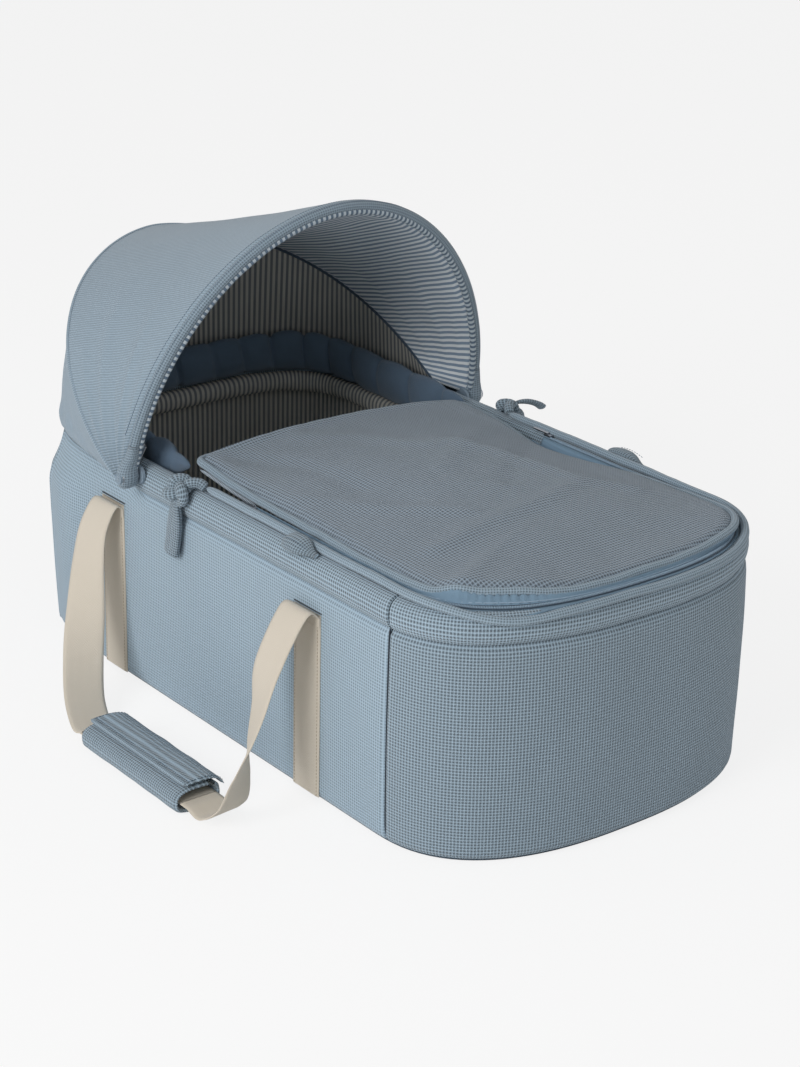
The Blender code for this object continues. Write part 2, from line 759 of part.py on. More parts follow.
def apron_crown(x, y):
    """Rise of the padded cover over its edge."""
    half = HALF_WIDTH - zip_lanes(side_index(ZIP_START))["piping"][0]
    across = 1 - min(abs(x) / half, 1.0) ** APRON_POWER
    if y > APRON_CREST:
        share = smooth_step((y - APRON_CREST) / (APRON_HEAD_EDGE - APRON_CREST))
        along = mix(1.0, APRON_HEAD_CROWN_SHARE, share)
    else:
        foot = -BODY_LENGTH / 2 + zip_lanes((LEFT_FOOT + RIGHT_FOOT) / 2)["piping"][0]
        along = 1 - min((APRON_CREST - y) / (APRON_CREST - foot), 1.0) ** APRON_POWER
    return APRON_CROWN * across * along


def apron_edge(outset):
    """Points round the apron at its piping's middle line, plus an outset: sides and foot."""
    points = []
    for index in foot_run(APRON_HEAD_EDGE):
        inset, height = zip_lanes(index)["piping"]
        point, normal = station(index)
        inset += apron_taper(point.y) - outset
        spot = point - normal * inset
        points.append(Vector((spot.x, spot.y, height)))
    return points


def apron_loop(outset):
    """The whole way round: sides, foot and the straight head edge."""
    points = apron_edge(outset)
    first = points[0]
    last = points[-1]
    shift = Vector((0, outset, 0))
    points[0] = first + shift
    points[-1] = last + shift
    for i in range(1, APRON_HEAD_STEPS):
        points.append(points[len(points) - i].lerp(first + shift, i / APRON_HEAD_STEPS))
    return points


def build_apron():
    inner = apron_loop(-PIPING_RADIUS - GAP)
    level = inner[0].z
    levels = {(round(p.x, 5), round(p.y, 5)): p.z for p in inner}
    half = APRON_EDGE_THICKNESS / 2

    def edge_level(spot, share):
        return levels.get((round(spot.x, 5), round(spot.y, 5)), level)

    def top(spot, share):
        return edge_level(spot, share) + half + apron_crown(spot.x, spot.y)

    def bottom(spot, share):
        return edge_level(spot, share) - half + APRON_UNDER_SHARE * apron_crown(spot.x, spot.y)
    outline = [p.to_2d() for p in inner]
    crowned_pad("apron_panel", outline, (FOOT_START, APRON_HEAD_EDGE * 0.4), top, bottom, BLUE)
    path = []
    for p in apron_loop(0.0):
        path.append(p + Vector((0, 0, (1 + APRON_UNDER_SHARE) / 2 * apron_crown(p.x, p.y))))
    piping = tube("upper_piping", path, PIPING_RADIUS, BLUE, capped=False)
    piping.data.splines[0].use_cyclic_u = True


# Ties


def strip_rings(path, widths, thickness):
    """Rings of a flat strip along path; widths are half-width vectors."""
    rings = []
    for i, point in enumerate(path):
        before = path[max(i - 1, 0)]
        after = path[min(i + 1, len(path) - 1)]
        along = (after - before).normalized()
        width = widths[i]
        face = along.cross(width).normalized() * (thickness / 2)
        rings.append([point - width - face, point + width - face,
                      point + width + face, point - width + face])
    return rings


def build_ties():
    """A knotted tie and a folded stub on each side of the rim."""
    reach = RIM_BULGE + TIE_THICKNESS / 2 + GAP
    for name, side in (("left", -1), ("right", 1)):
        wall_x = side * (HALF_WIDTH + reach)
        knot = Vector((side * (HALF_WIDTH + RIM_BULGE), TIE_Y, RIM_TOP + KNOT_RADIUS * KNOT_DEPTH_SHARE))
        low = knot.z - TIE_TAIL
        path = [Vector((wall_x, TIE_Y, mix(knot.z, low, i / 4))) for i in range(5)]
        widths = [Vector((0, TIE_WIDTH / 2, 0))] * len(path)
        tail = loft(name + "_knotted_tie", strip_rings(path, widths, TIE_THICKNESS), BLUE)
        mesh = bmesh.new()
        shape = Matrix.Translation(knot) @ Matrix.Diagonal((KNOT_DEPTH_SHARE, 1, KNOT_DEPTH_SHARE, 1))
        bmesh.ops.create_uvsphere(mesh, u_segments=12, v_segments=8, radius=KNOT_RADIUS, matrix=shape)
        data = bpy.data.meshes.new(name + "_knot")
        mesh.to_mesh(data)
        mesh.free()
        lump = as_cutter(add_object(name + "_knot", data, BLUE, CUTTERS))
        combine(tail, lump, "UNION")
        stub_low = RIM_TOP + GAP + STUB_THICKNESS / 2
        x = side * (HALF_WIDTH - lower_piping_spot(side_index(STUB_Y))[0] + PIPING_RADIUS + ROLL_GAP
                    + STUB_WIDTH / 2)
        path = [Vector((x, STUB_Y + STUB_LENGTH * i / 4, stub_low)) for i in range(5)]
        widths = [Vector((STUB_WIDTH / 2 * share, 0, 0)) for share in (0.55, 0.9, 1.0, 1.0, 0.85)]
        loft(name + "_tie_stub", strip_rings(path, widths, STUB_THICKNESS), BLUE)


# Hood


def bow_point(half_width, reach, angle, curve, degrees, outset=0.0):
    """A point of a bow at so many degrees from its left end to its right end."""
    turn = math.radians(degrees)
    tilt = math.radians(angle)
    cosine = math.cos(turn)
    across = math.copysign(abs(cosine) ** curve[0], cosine)
    out = (reach + outset) * math.sin(turn) ** curve[1]
    return Vector((-(half_width + outset) * across, PIVOT_Y + out * math.cos(tilt),
                   PIVOT_HEIGHT + out * math.sin(tilt)))


def front_point(degrees, outset=0.0):
    return bow_point(FRONT_HALF_WIDTH, FRONT_REACH, FRONT_ANGLE, FRONT_CURVE, degrees, outset)


def rear_point(degrees, outset=0.0):
    return bow_point(REAR_HALF_WIDTH, REAR_REACH, REAR_ANGLE, REAR_CURVE, degrees, outset)


def degrees_run(start, steps):
    return [mix(start, 180 - start, i / steps) for i in range(steps + 1)]


def build_bow(name, point_of, half_width, reach, curve):
    """A sprung wire with a flat eye at each end, turning on the pivot pins."""
    leaves_eye = (EYE_RADIUS + PIN_RADIUS + PIN_CLEARANCE) / 2
    start = math.degrees(math.asin((leaves_eye / reach) ** (1 / curve[1])))
    path = [point_of(degrees) for degrees in degrees_run(start, BOW_STEPS)]
    bow = as_mesh(tube(name, path, BOW_RADIUS, STEEL))
    for side in (-1, 1):
        inner = side * (half_width - EYE_THICKNESS / 2)
        outer = side * (half_width + EYE_THICKNESS / 2)
        label = name + ("_left" if side < 0 else "_right")
        eye = cylinder_along_x(label + "_eye", EYE_RADIUS, inner, outer, PIVOT_Y, PIVOT_HEIGHT)
        combine(bow, eye, "UNION")
    for side in (-1, 1):
        inner = side * (half_width - EYE_THICKNESS / 2 - OVERRUN)
        outer = side * (half_width + EYE_THICKNESS / 2 + OVERRUN)
        label = name + ("_left" if side < 0 else "_right")
        hole = cylinder_along_x(label + "_hole", PIN_RADIUS + PIN_CLEARANCE, inner, outer,
                                PIVOT_Y, PIVOT_HEIGHT)
        combine(bow, hole, "DIFFERENCE")


def build_pivots():
    """A riveted plate and headed pin on each side, outside the rim roll."""
    plate_inner = HALF_WIDTH + RIM_BULGE + GAP
    plate_outer = plate_inner + PIVOT_PLATE_THICKNESS
    head_inner = REAR_HALF_WIDTH + EYE_THICKNESS / 2 + GAP
    head_outer = head_inner + PIN_HEAD_THICKNESS
    outline = [(plate_inner, 0.0), (plate_inner, PIVOT_PLATE_RADIUS), (plate_outer, PIVOT_PLATE_RADIUS),
               (plate_outer, PIN_RADIUS), (head_inner, PIN_RADIUS), (head_inner, PIN_HEAD_RADIUS),
               (head_outer, PIN_HEAD_RADIUS), (head_outer, 0.0)]
    for name, side in (("left", -1), ("right", 1)):
        rings = []
        for x, radius in outline[1:-1]:
            ring = []
            for i in range(20):
                turn = 2 * math.pi * i / 20
                ring.append(Vector((side * x, PIVOT_Y + radius * math.cos(turn),
                                    PIVOT_HEIGHT + radius * math.sin(turn))))
            rings.append(ring)
        loft(name + "_hood_pivot", rings, PLASTIC)


def build_hem():
    """The padded front hem: a fabric sleeve round the front bow, open at both ends."""
    path = [front_point(degrees) for degrees in degrees_run(HEM_START, BOW_STEPS)]
    sleeve = as_mesh(tube("hood_front_hem", path, HEM_RADIUS, BLUE, resolution=3, capped=False))
    wall_layer = sleeve.modifiers.new("wall", "SOLIDIFY")
    wall_layer.thickness = HEM_RADIUS - HEM_BORE_RADIUS
    wall_layer.offset = -1.0


def sheet(name, rows, thickness, finish):
    """A shell: an open surface through rows of points, thickened evenly."""
    mesh = bmesh.new()
    grid = [[mesh.verts.new(point) for point in row] for row in rows]
    for row, after in zip(grid, grid[1:]):
        for i in range(len(row) - 1):
            mesh.faces.new((row[i], row[i + 1], after[i + 1], after[i]))
    data = bpy.data.meshes.new(name)
    mesh.to_mesh(data)
    mesh.free()
    made = add_object(name, data, finish)
    layer = made.modifiers.new("cloth", "SOLIDIFY")
    layer.thickness = thickness
    layer.offset = 0.0
    layer.use_even_offset = True
    data.shade_smooth()
    return made


def seam_point(bow, other, offset, distance):
    """A point beside a bow: this far out of the hood, then this far towards the other edge."""
    along = (other - bow).normalized()
    out = Vector((bow.x, bow.y - PIVOT_Y, bow.z - PIVOT_HEIGHT)).normalized()
    slant = max(out.cross(along).length, 0.5)
    return bow + out * (offset / slant) + along * distance


def hem_point(bow, other, offset):
    """A point beside the front bow, this far out of the hood and just clear of the hem."""
    along = (other - bow).normalized()
    out = Vector((bow.x, bow.y - PIVOT_Y, bow.z - PIVOT_HEIGHT)).normalized()
    lean = offset * out.dot(along)
    clear = HEM_RADIUS + CANOPY_THICKNESS / 2 + ROLL_GAP
    return bow + out * offset + along * (math.sqrt(clear ** 2 - offset ** 2 + lean ** 2) - lean)


def top_rows(outset, slack, seam):
    """Rows from the front hem to the rear bow."""
    rows = []
    for j in range(CANOPY_ROWS + 1):
        share = j / CANOPY_ROWS
        row = []
        for degrees in degrees_run(CANOPY_START, CANOPY_STEPS):
            front = front_point(degrees)
            rear = rear_point(degrees)
            start = hem_point(front, rear, outset)
            end = seam_point(rear, front, outset, seam / 2)
            point = start.lerp(end, share)
            inward = Vector((point.x, point.y - PIVOT_Y, point.z - PIVOT_HEIGHT)).normalized()
            row.append(point - inward * (slack * math.sin(math.pi * share)))
        rows.append(row)
    return rows


def head_edge(share, inset, height):
    """A point of the head end's outline, from the left pivot round to the right one."""
    first = side_index(PIVOT_Y)
    last = side_index(PIVOT_Y, right=True)
    return place(mix(LAST + first, last, share), inset, height)


def back_rows(outset, edge_inset, edge_height, bulge, seam):
    """Rows from the rear bow down to the basket's rim."""
    rows = []
    run = degrees_run(CANOPY_START, CANOPY_STEPS)
    for j in range(CANOPY_ROWS + 1):
        share = j / CANOPY_ROWS
        row = []
        for i, degrees in enumerate(run):
            edge = head_edge(mix(0.03, 0.97, i / CANOPY_STEPS), edge_inset, edge_height)
            start = seam_point(rear_point(degrees), edge, outset, seam / 2)
            point = start.lerp(edge, share)
            out = Vector((edge.x, edge.y - HEAD_START, 0)).normalized()
            strength = math.sin(math.pi * share) * math.sin(math.radians(degrees))
            row.append(point + out * (bulge * strength))
        rows.append(row)
    return rows


def build_canopy():
    lining_edge = RIM_TOP + LINING_EDGE_LIFT
    sheet("canopy_top", top_rows(CANOPY_OFFSET, 0.0, CANOPY_SEAM), CANOPY_THICKNESS, BLUE)
    sheet("canopy_back",
          back_rows(CANOPY_OFFSET, -BACK_EDGE_OUTSET, BACK_EDGE_HEIGHT, BACK_BULGE, CANOPY_SEAM),
          CANOPY_THICKNESS, BLUE)
    sheet("lining_top", top_rows(-CANOPY_OFFSET, LINING_SLACK, LINING_SEAM), CANOPY_THICKNESS, STRIPE)
    sheet("lining_back",
          back_rows(-CANOPY_OFFSET, LINING_EDGE_INSET, lining_edge, 0.0, LINING_SEAM),
          CANOPY_THICKNESS, STRIPE)


# Handles


STRAP_X = HALF_WIDTH + GAP + WEBBING_THICKNESS / 2
LOOP_X = STRAP_X + WEBBING_THICKNESS + GAP
GRIP_X = HALF_WIDTH + GRIP_REACH
BARE_X = HALF_WIDTH + BARE_REACH
WRAP_MIDDLE = GRIP_HEIGHT / 2 + FLOOR_LIFT - GRIP_FLAT


def smooth_route(points, count):
    """Points along a Catmull-Rom curve through points, evenly by knot."""
    found = []
    spans = len(points) - 1
    for i in range(count + 1):
        at = spans * i / count
        k = min(int(at), spans - 1)
        t = at - k
        p1, p2 = points[k], points[k + 1]
        p0 = points[k - 1] if k else p1 * 2 - p2
        p3 = points[k + 2] if k + 2 <= spans else p2 * 2 - p1
        found.append(0.5 * (2 * p1 + (p2 - p0) * t + (2 * p0 - 5 * p1 + 4 * p2 - p3) * t ** 2
                            + (3 * p1 - p0 - 3 * p2 + p3) * t ** 3))
    return found


# Shares of a hanging strap's way from its slot to the handle's middle stretch. Each row is
# the share of the reach, the share of the way along Y to the grip's end, the share of the
# slot's height, and the turn of the width from along Y to along X, in degrees.
FOOT_STRAP_SHARES = ((0.00, 0.0, 0.94, 0), (0.00, 0.0, 1.00, 0), (0.17, 0.0, 1.04, 0), (0.44, 0.0, 0.76, -3),
                     (0.58, -0.15, 0.56, -21), (0.72, -0.30, 0.40, -36), (0.83, -0.42, 0.26, -60),
                     (0.93, -0.40, 0.13, -78), (1.00, 0.10, 0.055, -87), (1.00, 1.0, 0.060, -90))
HEAD_STRAP_SHARES = ((0.00, 0.0, 0.94, 0), (0.00, 0.0, 1.00, 0), (0.13, 0.0, 1.03, 3), (0.24, 0.0, 0.86, 8),
                     (0.34, 0.04, 0.69, 18), (0.45, 0.12, 0.46, 38), (0.62, 0.28, 0.26, 64),
                     (0.84, 0.55, 0.12, 84), (1.00, 0.84, 0.065, 89), (1.00, 1.0, 0.070, 90))


def strap_loop(name, side, slot_y, end_y, middle_x, end_height, shares):
    """The free webbing from a slot to the handle's middle stretch."""
    places = []
    turns = []
    for reach, along, height, turn in shares:
        places.append(Vector((side * mix(LOOP_X, middle_x, reach), mix(slot_y, end_y, along),
                              mix(0.0, SLOT_HEIGHT, height))))
        turns.append(Vector((turn, 0, 0)))
    toward = math.copysign(STRAP_END_RUN, end_y - slot_y)
    places[-1] = Vector((side * middle_x, end_y - toward, end_height))
    path = smooth_route(places, STRAP_RINGS)
    angles = smooth_route(turns, STRAP_RINGS)
    for run in (toward / 2, 0.0):
        path.append(Vector((side * middle_x, end_y - run, end_height)))
        angles.append(turns[-1])
    widths = []
    for angle in angles:
        turn = math.radians(angle.x)
        across = Vector((side * math.sin(turn), math.cos(turn), 0))
        widths.append(across * (WEBBING_WIDTH / 2))
    for i, point in enumerate(path):
        before = path[max(i - 1, 0)]
        after = path[min(i + 1, len(path) - 1)]
        along = (after - before).normalized()
        widths[i] = (widths[i] - along * widths[i].dot(along)).normalized() * (WEBBING_WIDTH / 2)
        point.x = side * max(side * point.x, LOOP_X)
        point.z = max(point.z, FLOOR_LIFT + WEBBING_THICKNESS / 2 + abs(widths[i].z))
    loft(name, strip_rings(path, widths, WEBBING_THICKNESS), CREAM)


def wrap_ring(share, half_width, half_height, y):
    """A point round the grip's oval, from its seam at the top."""
    turn = math.pi / 2 + 2 * math.pi * share
    cosine = math.cos(turn)
    sine = math.sin(turn)
    x = -GRIP_X + half_width * math.copysign(abs(cosine) ** (2 / GRIP_POWER), cosine)
    z = WRAP_MIDDLE + half_height * math.copysign(abs(sine) ** (2 / GRIP_POWER), sine)
    return Vector((x, y, max(z, FLOOR_LIFT)))


def arc_shell(name, first, last, offset, thickness, low_y, high_y, steps, finish):
    """A curved strip round the grip's oval, between two shares of the way round."""
    rings = []
    for i in range(steps + 1):
        share = mix(first, last, i / steps)
        ring = []
        for y in (low_y, high_y):
            inner = (GRIP_WIDTH / 2 + offset, GRIP_HEIGHT / 2 + offset)
            ring.append(wrap_ring(share, *inner, y))
        for y in (high_y, low_y):
            outer = (GRIP_WIDTH / 2 + offset + thickness, GRIP_HEIGHT / 2 + offset + thickness)
            ring.append(wrap_ring(share, *outer, y))
        rings.append(ring)
    return loft(name, rings, finish)


def build_grip():
    """The rolled grip on the left handle: wrap, closing flap and its hook and loop patches."""
    low = GRIP_MIDDLE_Y - GRIP_LENGTH / 2
    high = GRIP_MIDDLE_Y + GRIP_LENGTH / 2
    seam_end = GRIP_SEAM_MIDDLE_SHARE + GRIP_SEAM_SHARE / 2
    seam_start = 1 + GRIP_SEAM_MIDDLE_SHARE - GRIP_SEAM_SHARE / 2
    arc_shell("grip_wrap", seam_end, seam_start, -GRIP_WALL, GRIP_WALL, low, high,
              GRIP_SIDES, BLUE)
    patch_half = GRIP_LENGTH * PATCH_LENGTH_SHARE / 2
    patch_low = GRIP_MIDDLE_Y - patch_half
    patch_high = GRIP_MIDDLE_Y + patch_half
    start = seam_end + 0.015
    arc_shell("grip_loop_patch", start, start + PATCH_SHARE, GAP, PATCH_THICKNESS,
              patch_low, patch_high, 4, BLUE_DARK)
    arc_shell("grip_hook_patch", start, start + PATCH_SHARE, 2 * GAP + PATCH_THICKNESS,
              PATCH_THICKNESS, patch_low, patch_high, 4, BLUE_DARK)
    flap_offset = 3 * GAP + 2 * PATCH_THICKNESS
    flap_end = start + PATCH_SHARE + 0.02
    arc_shell("grip_flap", flap_end - FLAP_SHARE, flap_end, flap_offset, FLAP_THICKNESS, low, high,
              12, BLUE)
    block("grip_core_webbing",
          (-GRIP_X - WEBBING_WIDTH / 2, low, WRAP_MIDDLE - WEBBING_THICKNESS / 2),
          (-GRIP_X + WEBBING_WIDTH / 2, high, WRAP_MIDDLE + WEBBING_THICKNESS / 2), CREAM)


def build_handles():
    for name, side in (("left", -1), ("right", 1)):
        for label, y in (("foot", FOOT_STRAP_Y), ("head", HEAD_STRAP_Y)):
            inner = side * (HALF_WIDTH + GAP)
            outer = side * (HALF_WIDTH + GAP + WEBBING_THICKNESS)
            block(f"{name}_{label}_webbing",
                  (min(inner, outer), y - WEBBING_WIDTH / 2, WEBBING_LOW),
                  (max(inner, outer), y + WEBBING_WIDTH / 2, SLOT_HEIGHT), CREAM)
    low = GRIP_MIDDLE_Y - GRIP_LENGTH / 2
    high = GRIP_MIDDLE_Y + GRIP_LENGTH / 2
    strap_loop("left_foot_strap", -1, FOOT_STRAP_Y, low - GAP, GRIP_X, WRAP_MIDDLE,
               FOOT_STRAP_SHARES)
    strap_loop("left_head_strap", -1, HEAD_STRAP_Y, high + GAP, GRIP_X, WRAP_MIDDLE,
               HEAD_STRAP_SHARES)
    floor_height = FLOOR_LIFT + WEBBING_THICKNESS / 2
    strap_loop("right_foot_strap", 1, FOOT_STRAP_Y, low - GAP, BARE_X, floor_height,
               FOOT_STRAP_SHARES)
    strap_loop("right_head_strap", 1, HEAD_STRAP_Y, high + GAP, BARE_X, floor_height,
               HEAD_STRAP_SHARES)
    block("right_handle_webbing",
          (BARE_X - WEBBING_WIDTH / 2, low, FLOOR_LIFT),
          (BARE_X + WEBBING_WIDTH / 2, high, FLOOR_LIFT + WEBBING_THICKNESS), CREAM)


def build_all():
    build_floor()
    build_walls()
    build_rim()
    build_bumper()
    build_liner_roll()
    build_mattress()
    build_zip()
    build_sliders()
    build_apron()
    build_ties()
    build_bow("hood_front_bow", front_point, FRONT_HALF_WIDTH, FRONT_REACH, FRONT_CURVE)
    build_bow("hood_rear_bow", rear_point, REAR_HALF_WIDTH, REAR_REACH, REAR_CURVE)
    build_pivots()
    build_hem()
    build_canopy()
    build_grip()
    build_handles()


build_all()
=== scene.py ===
"""A soft blue-grey carrycot: waffle-knit basket, folding striped-lined hood, zipped apron, webbing handles."""

import math

import bpy
import numpy as np
from mathutils import Matrix, Vector, noise


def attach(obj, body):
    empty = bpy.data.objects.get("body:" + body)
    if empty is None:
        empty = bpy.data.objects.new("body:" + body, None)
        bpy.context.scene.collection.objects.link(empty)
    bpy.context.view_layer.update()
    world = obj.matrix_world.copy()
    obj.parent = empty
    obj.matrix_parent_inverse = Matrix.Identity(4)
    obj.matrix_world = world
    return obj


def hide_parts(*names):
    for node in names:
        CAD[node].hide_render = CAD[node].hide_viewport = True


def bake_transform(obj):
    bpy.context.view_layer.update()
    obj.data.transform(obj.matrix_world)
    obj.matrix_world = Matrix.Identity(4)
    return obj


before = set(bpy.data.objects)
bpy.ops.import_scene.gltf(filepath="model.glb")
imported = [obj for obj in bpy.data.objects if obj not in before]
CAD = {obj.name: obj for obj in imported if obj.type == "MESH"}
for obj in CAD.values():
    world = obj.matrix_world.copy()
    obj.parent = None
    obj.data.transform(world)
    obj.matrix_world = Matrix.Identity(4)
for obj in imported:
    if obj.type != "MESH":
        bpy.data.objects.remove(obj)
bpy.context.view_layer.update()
SCENE = bpy.context.scene
PI = math.pi
cat = np.concatenate

# The basket's outline and rim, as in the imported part
HALF = 0.200
FOOT_DEPTH, FOOT_POWER, FOOT0 = 0.133, 2.53, -0.240
HEAD_DEPTH, HEAD_POWER, HEAD0 = 0.186, 3.40, 0.187
SEAM_Z = 0.208
RIM_IN, RIM_HW, RIM_HH, RIM_Z = 0.0100, 0.0125, 0.0155, 0.2238
PIVOT_Y, PIVOT_Z = 0.129, 0.232
FOOT_STRAP_Y, HEAD_STRAP_Y, SLOT_Z = -0.148, 0.181, 0.189
APRON_HEAD_Y, ZIP_START_Y = 0.087, -0.030
PIPE_RADIUS, CROWN_Y = 0.0041, -0.080
WALLS = ("left_side", "foot_end", "right_side", "head_end")
SIDES = (("left", -1), ("right", 1))


# ---- numbers and points ----
def sat(t):
    return np.clip(t, 0, 1)


def smooth(t):
    t = sat(t)
    return t * t * (3 - 2 * t)


def mix(a, b, t):
    return a + (b - a) * t


def bell(x, width):
    """1 at x 0, dying away to both sides."""
    return np.exp(-(x / width) ** 2)


def signed(c, power):
    """A power that keeps the sign."""
    return np.sign(c) * np.abs(c) ** power


def unit(v):
    return v / np.maximum(np.linalg.norm(v, axis=-1, keepdims=True), 1e-12)


def join(*parts):
    """Points, or pairs for a UV map, from parts that broadcast."""
    return np.stack(np.broadcast_arrays(*parts), -1)


def cross(a, b):
    return np.meshgrid(a, b, indexing="ij")


def circle(count):
    return np.linspace(0, 2 * PI, count, endpoint=False)


def run(a, b, step):
    return np.linspace(a, b, max(4, int((b - a) / step) + 1))


def way(path):
    return cat([[0], np.cumsum(np.linalg.norm(np.diff(path, axis=0), axis=1))])


def follow(at, s, values):
    """Each column of values at the ways at."""
    return np.stack([np.interp(at, s, column) for column in values.T], -1)


def wobble(p, scale, seed=0.0):
    """Smooth noise in about -1..1 at points p."""
    flat = np.asarray(p, float).reshape(-1, 3) * scale + [seed, seed * 1.7, -seed]
    return np.array([noise.noise(Vector(q)) for q in flat]).reshape(np.asarray(p).shape[:-1])


def spline(points, count):
    """A smooth curve through points, evenly spaced by way."""
    p = np.asarray(points, float)
    s = way(p)
    at = np.linspace(0, s[-1], count)
    slope = np.gradient(p, s, axis=0)
    k = np.clip(np.searchsorted(s, at, side="right") - 1, 0, len(s) - 2)
    h = (s[k + 1] - s[k])[:, None]
    u = (at - s[k])[:, None] / h
    return ((2 * u ** 3 - 3 * u ** 2 + 1) * p[k] + (u ** 3 - 2 * u ** 2 + u) * h * slope[k]
            + (-2 * u ** 3 + 3 * u ** 2) * p[k + 1] + (u ** 3 - u ** 2) * h * slope[k + 1])


# ---- outline: ways run from the left side's head end over the foot and back round the head ----
def corner(depth, power, side, count=1500):
    """One rounded end of the outline and its normals."""
    a = np.linspace(0, PI, count + 1)
    across, along = signed(np.cos(a), 2 / power), sat(np.sin(a)) ** (2 / power)
    return (join(-HALF * across, side * depth * along),
            unit(join(-signed(across, power - 1) / HALF, side * along ** (power - 1) / depth)))


def build_outline(count=300):
    down = np.linspace(HEAD0, FOOT0, count, endpoint=False)
    up = np.linspace(FOOT0, HEAD0, count, endpoint=False)[1:]
    foot, foot_out = corner(FOOT_DEPTH, FOOT_POWER, -1)
    head, head_out = corner(HEAD_DEPTH, HEAD_POWER, 1)
    p = cat([join(-HALF, down), foot + [0, FOOT0], join(HALF, up), (head + [0, HEAD0])[::-1]])
    n = cat([join(-1.0, 0 * down), foot_out, join(1.0, 0 * up), head_out[::-1]])
    return p, n, way(p)


OP, ON, OS = build_outline()
TOTAL = OS[-1]
S_LF = HEAD0 - FOOT0
S_RF = OS[np.argmin(np.linalg.norm(OP - [HALF, FOOT0], axis=1))]
S_RH = S_RF + S_LF
FOOT_ARC, HEAD_ARC = S_RF - S_LF, TOTAL - S_RH
FOOT_CUT, HEAD_CUT = FOOT_ARC * (1 / 24), HEAD_ARC * (5 / 26)
SPANS = {
    "left_side": (-HEAD_CUT, S_LF + FOOT_CUT),
    "foot_end": (S_LF + FOOT_CUT, S_RF - FOOT_CUT),
    "right_side": (S_RF - FOOT_CUT, S_RH + HEAD_CUT),
    "head_end": (S_RH + HEAD_CUT, TOTAL - HEAD_CUT),
}
SLIT = 0.0032          # between two panels


def place(s, inset, z):
    """Points at way s along the outline, an inset inwards and a height; arrays broadcast."""
    s, inset, z = np.broadcast_arrays(np.asarray(s, float), inset, z)
    w = np.mod(s, TOTAL)
    x, y = np.interp(w, OS, OP[:, 0]), np.interp(w, OS, OP[:, 1])
    nx, ny = np.interp(w, OS, ON[:, 0]), np.interp(w, OS, ON[:, 1])
    k = np.hypot(nx, ny)
    return np.stack([x - nx / k * inset, y - ny / k * inset, z], -1)


def y_at(s):
    return place(s, 0.0, 0.0)[..., 1]


def s_left(y):
    return HEAD0 - y


def s_right(y):
    return S_RF + (y - FOOT0)


def round_head(y):
    """The span from the right side over the head to the left side, starting at y."""
    return s_right(y), TOTAL + s_left(y)


def to_end(s, span):
    return np.minimum(s - span[0], span[1] - s)


def along(span, step=0.005, slit=SLIT, turn=0.006):
    """Ways along a span, packed close at its ends so that seams can turn in."""
    a, b = span[0] + slit / 2, span[1] - slit / 2
    inner = np.linspace(a + turn, b - turn, max(8, int((b - a) / step)))
    lead = a + turn * (1 - np.cos(np.linspace(0, PI / 2, 6, endpoint=False)))
    return cat([lead, inner, (a + b) - lead[::-1]])


def seam_turn(s, span, radius, slit=SLIT):
    """How far a face turns in near the ends of its span."""
    x = sat(1 - (to_end(s, span) - slit / 2) / radius)
    return radius * (1 - np.sqrt(sat(1 - x * x)))


def head_share(S, start=0.118, length=0.040):
    """0 along the foot and sides, 1 round the head."""
    return smooth((y_at(S) - start) / length)


# ---- meshes ----
def add_mesh(name, verts, faces, material, uvs=None):
    mesh = bpy.data.meshes.new(name)
    mesh.from_pydata(verts, [], faces)
    if uvs is not None:
        mesh.uv_layers.new(name="UVMap").data.foreach_set("uv", uvs.ravel())
    mesh.shade_smooth()
    made = bpy.data.objects.new(name, mesh)
    SCENE.collection.objects.link(made)
    mesh.materials.append(material)
    return made


def grid(name, pts, uv, material, close_u=False, close_v=False, thick=0.0, cap_v=False, flip=False):
    """A quad sheet through pts[i, j]; uv[i, j] in metres. Where a way is closed, uv has one more row there."""
    nu, nv = pts.shape[:2]
    i, j = (k.ravel() for k in cross(np.arange(nu if close_u else nu - 1), np.arange(nv if close_v else nv - 1)))
    i2, j2 = (i + 1) % nu, (j + 1) % nv
    quads = np.stack([i * nv + j, i2 * nv + j, i2 * nv + j2, i * nv + j2], 1)
    loops = np.stack([uv[i, j], uv[i + 1, j], uv[i + 1, j + 1], uv[i, j + 1]], 1)
    if flip:
        quads, loops = quads[:, ::-1], loops[:, ::-1]
    faces, loops = quads.tolist(), loops.reshape(-1, 2)
    if cap_v:
        for end in (0, nu - 1):
            order = np.arange(nv) if (end == 0) == flip else np.arange(nv)[::-1]
            faces.append((end * nv + order).tolist())
            loops = cat([loops, uv[end][order]])
    made = add_mesh(name, pts.reshape(-1, 3).tolist(), faces, material, loops)
    if thick:
        layer = made.modifiers.new("cloth", "SOLIDIFY")
        layer.thickness = thick
        layer.offset = -1.0
    return made


def rope(name, path, radius, material, up=(0, 0, 1), sides=14, closed=False, squash=1.0, ends=True):
    """A round or oval tube along path; radius may vary."""
    t = unit(np.roll(path, -1, 0) - np.roll(path, 1, 0) if closed else np.gradient(path, axis=0))
    a = unit(np.cross(t, np.asarray(up, float)))
    b = np.cross(a, t)
    r = np.full(len(path), radius, float)
    if ends and not closed:
        n = min(5, len(path) // 4)
        lead = np.sqrt(np.clip(1 - (1 - np.arange(n) / n) ** 2, 0.02, 1))
        r[:n] *= lead
        r[-n:] *= lead[::-1]
    th = circle(sides)[:, None]
    pts = path[:, None] + r[:, None, None] * (np.cos(th) * a[:, None] + squash * np.sin(th) * b[:, None])
    s = way(cat([path, path[:1]]) if closed else path)
    around = np.linspace(0, 2 * PI * float(np.mean(r)), sides + 1)
    return grid(name, pts, join(s[:, None], around), material, close_u=closed, close_v=True, cap_v=not closed)


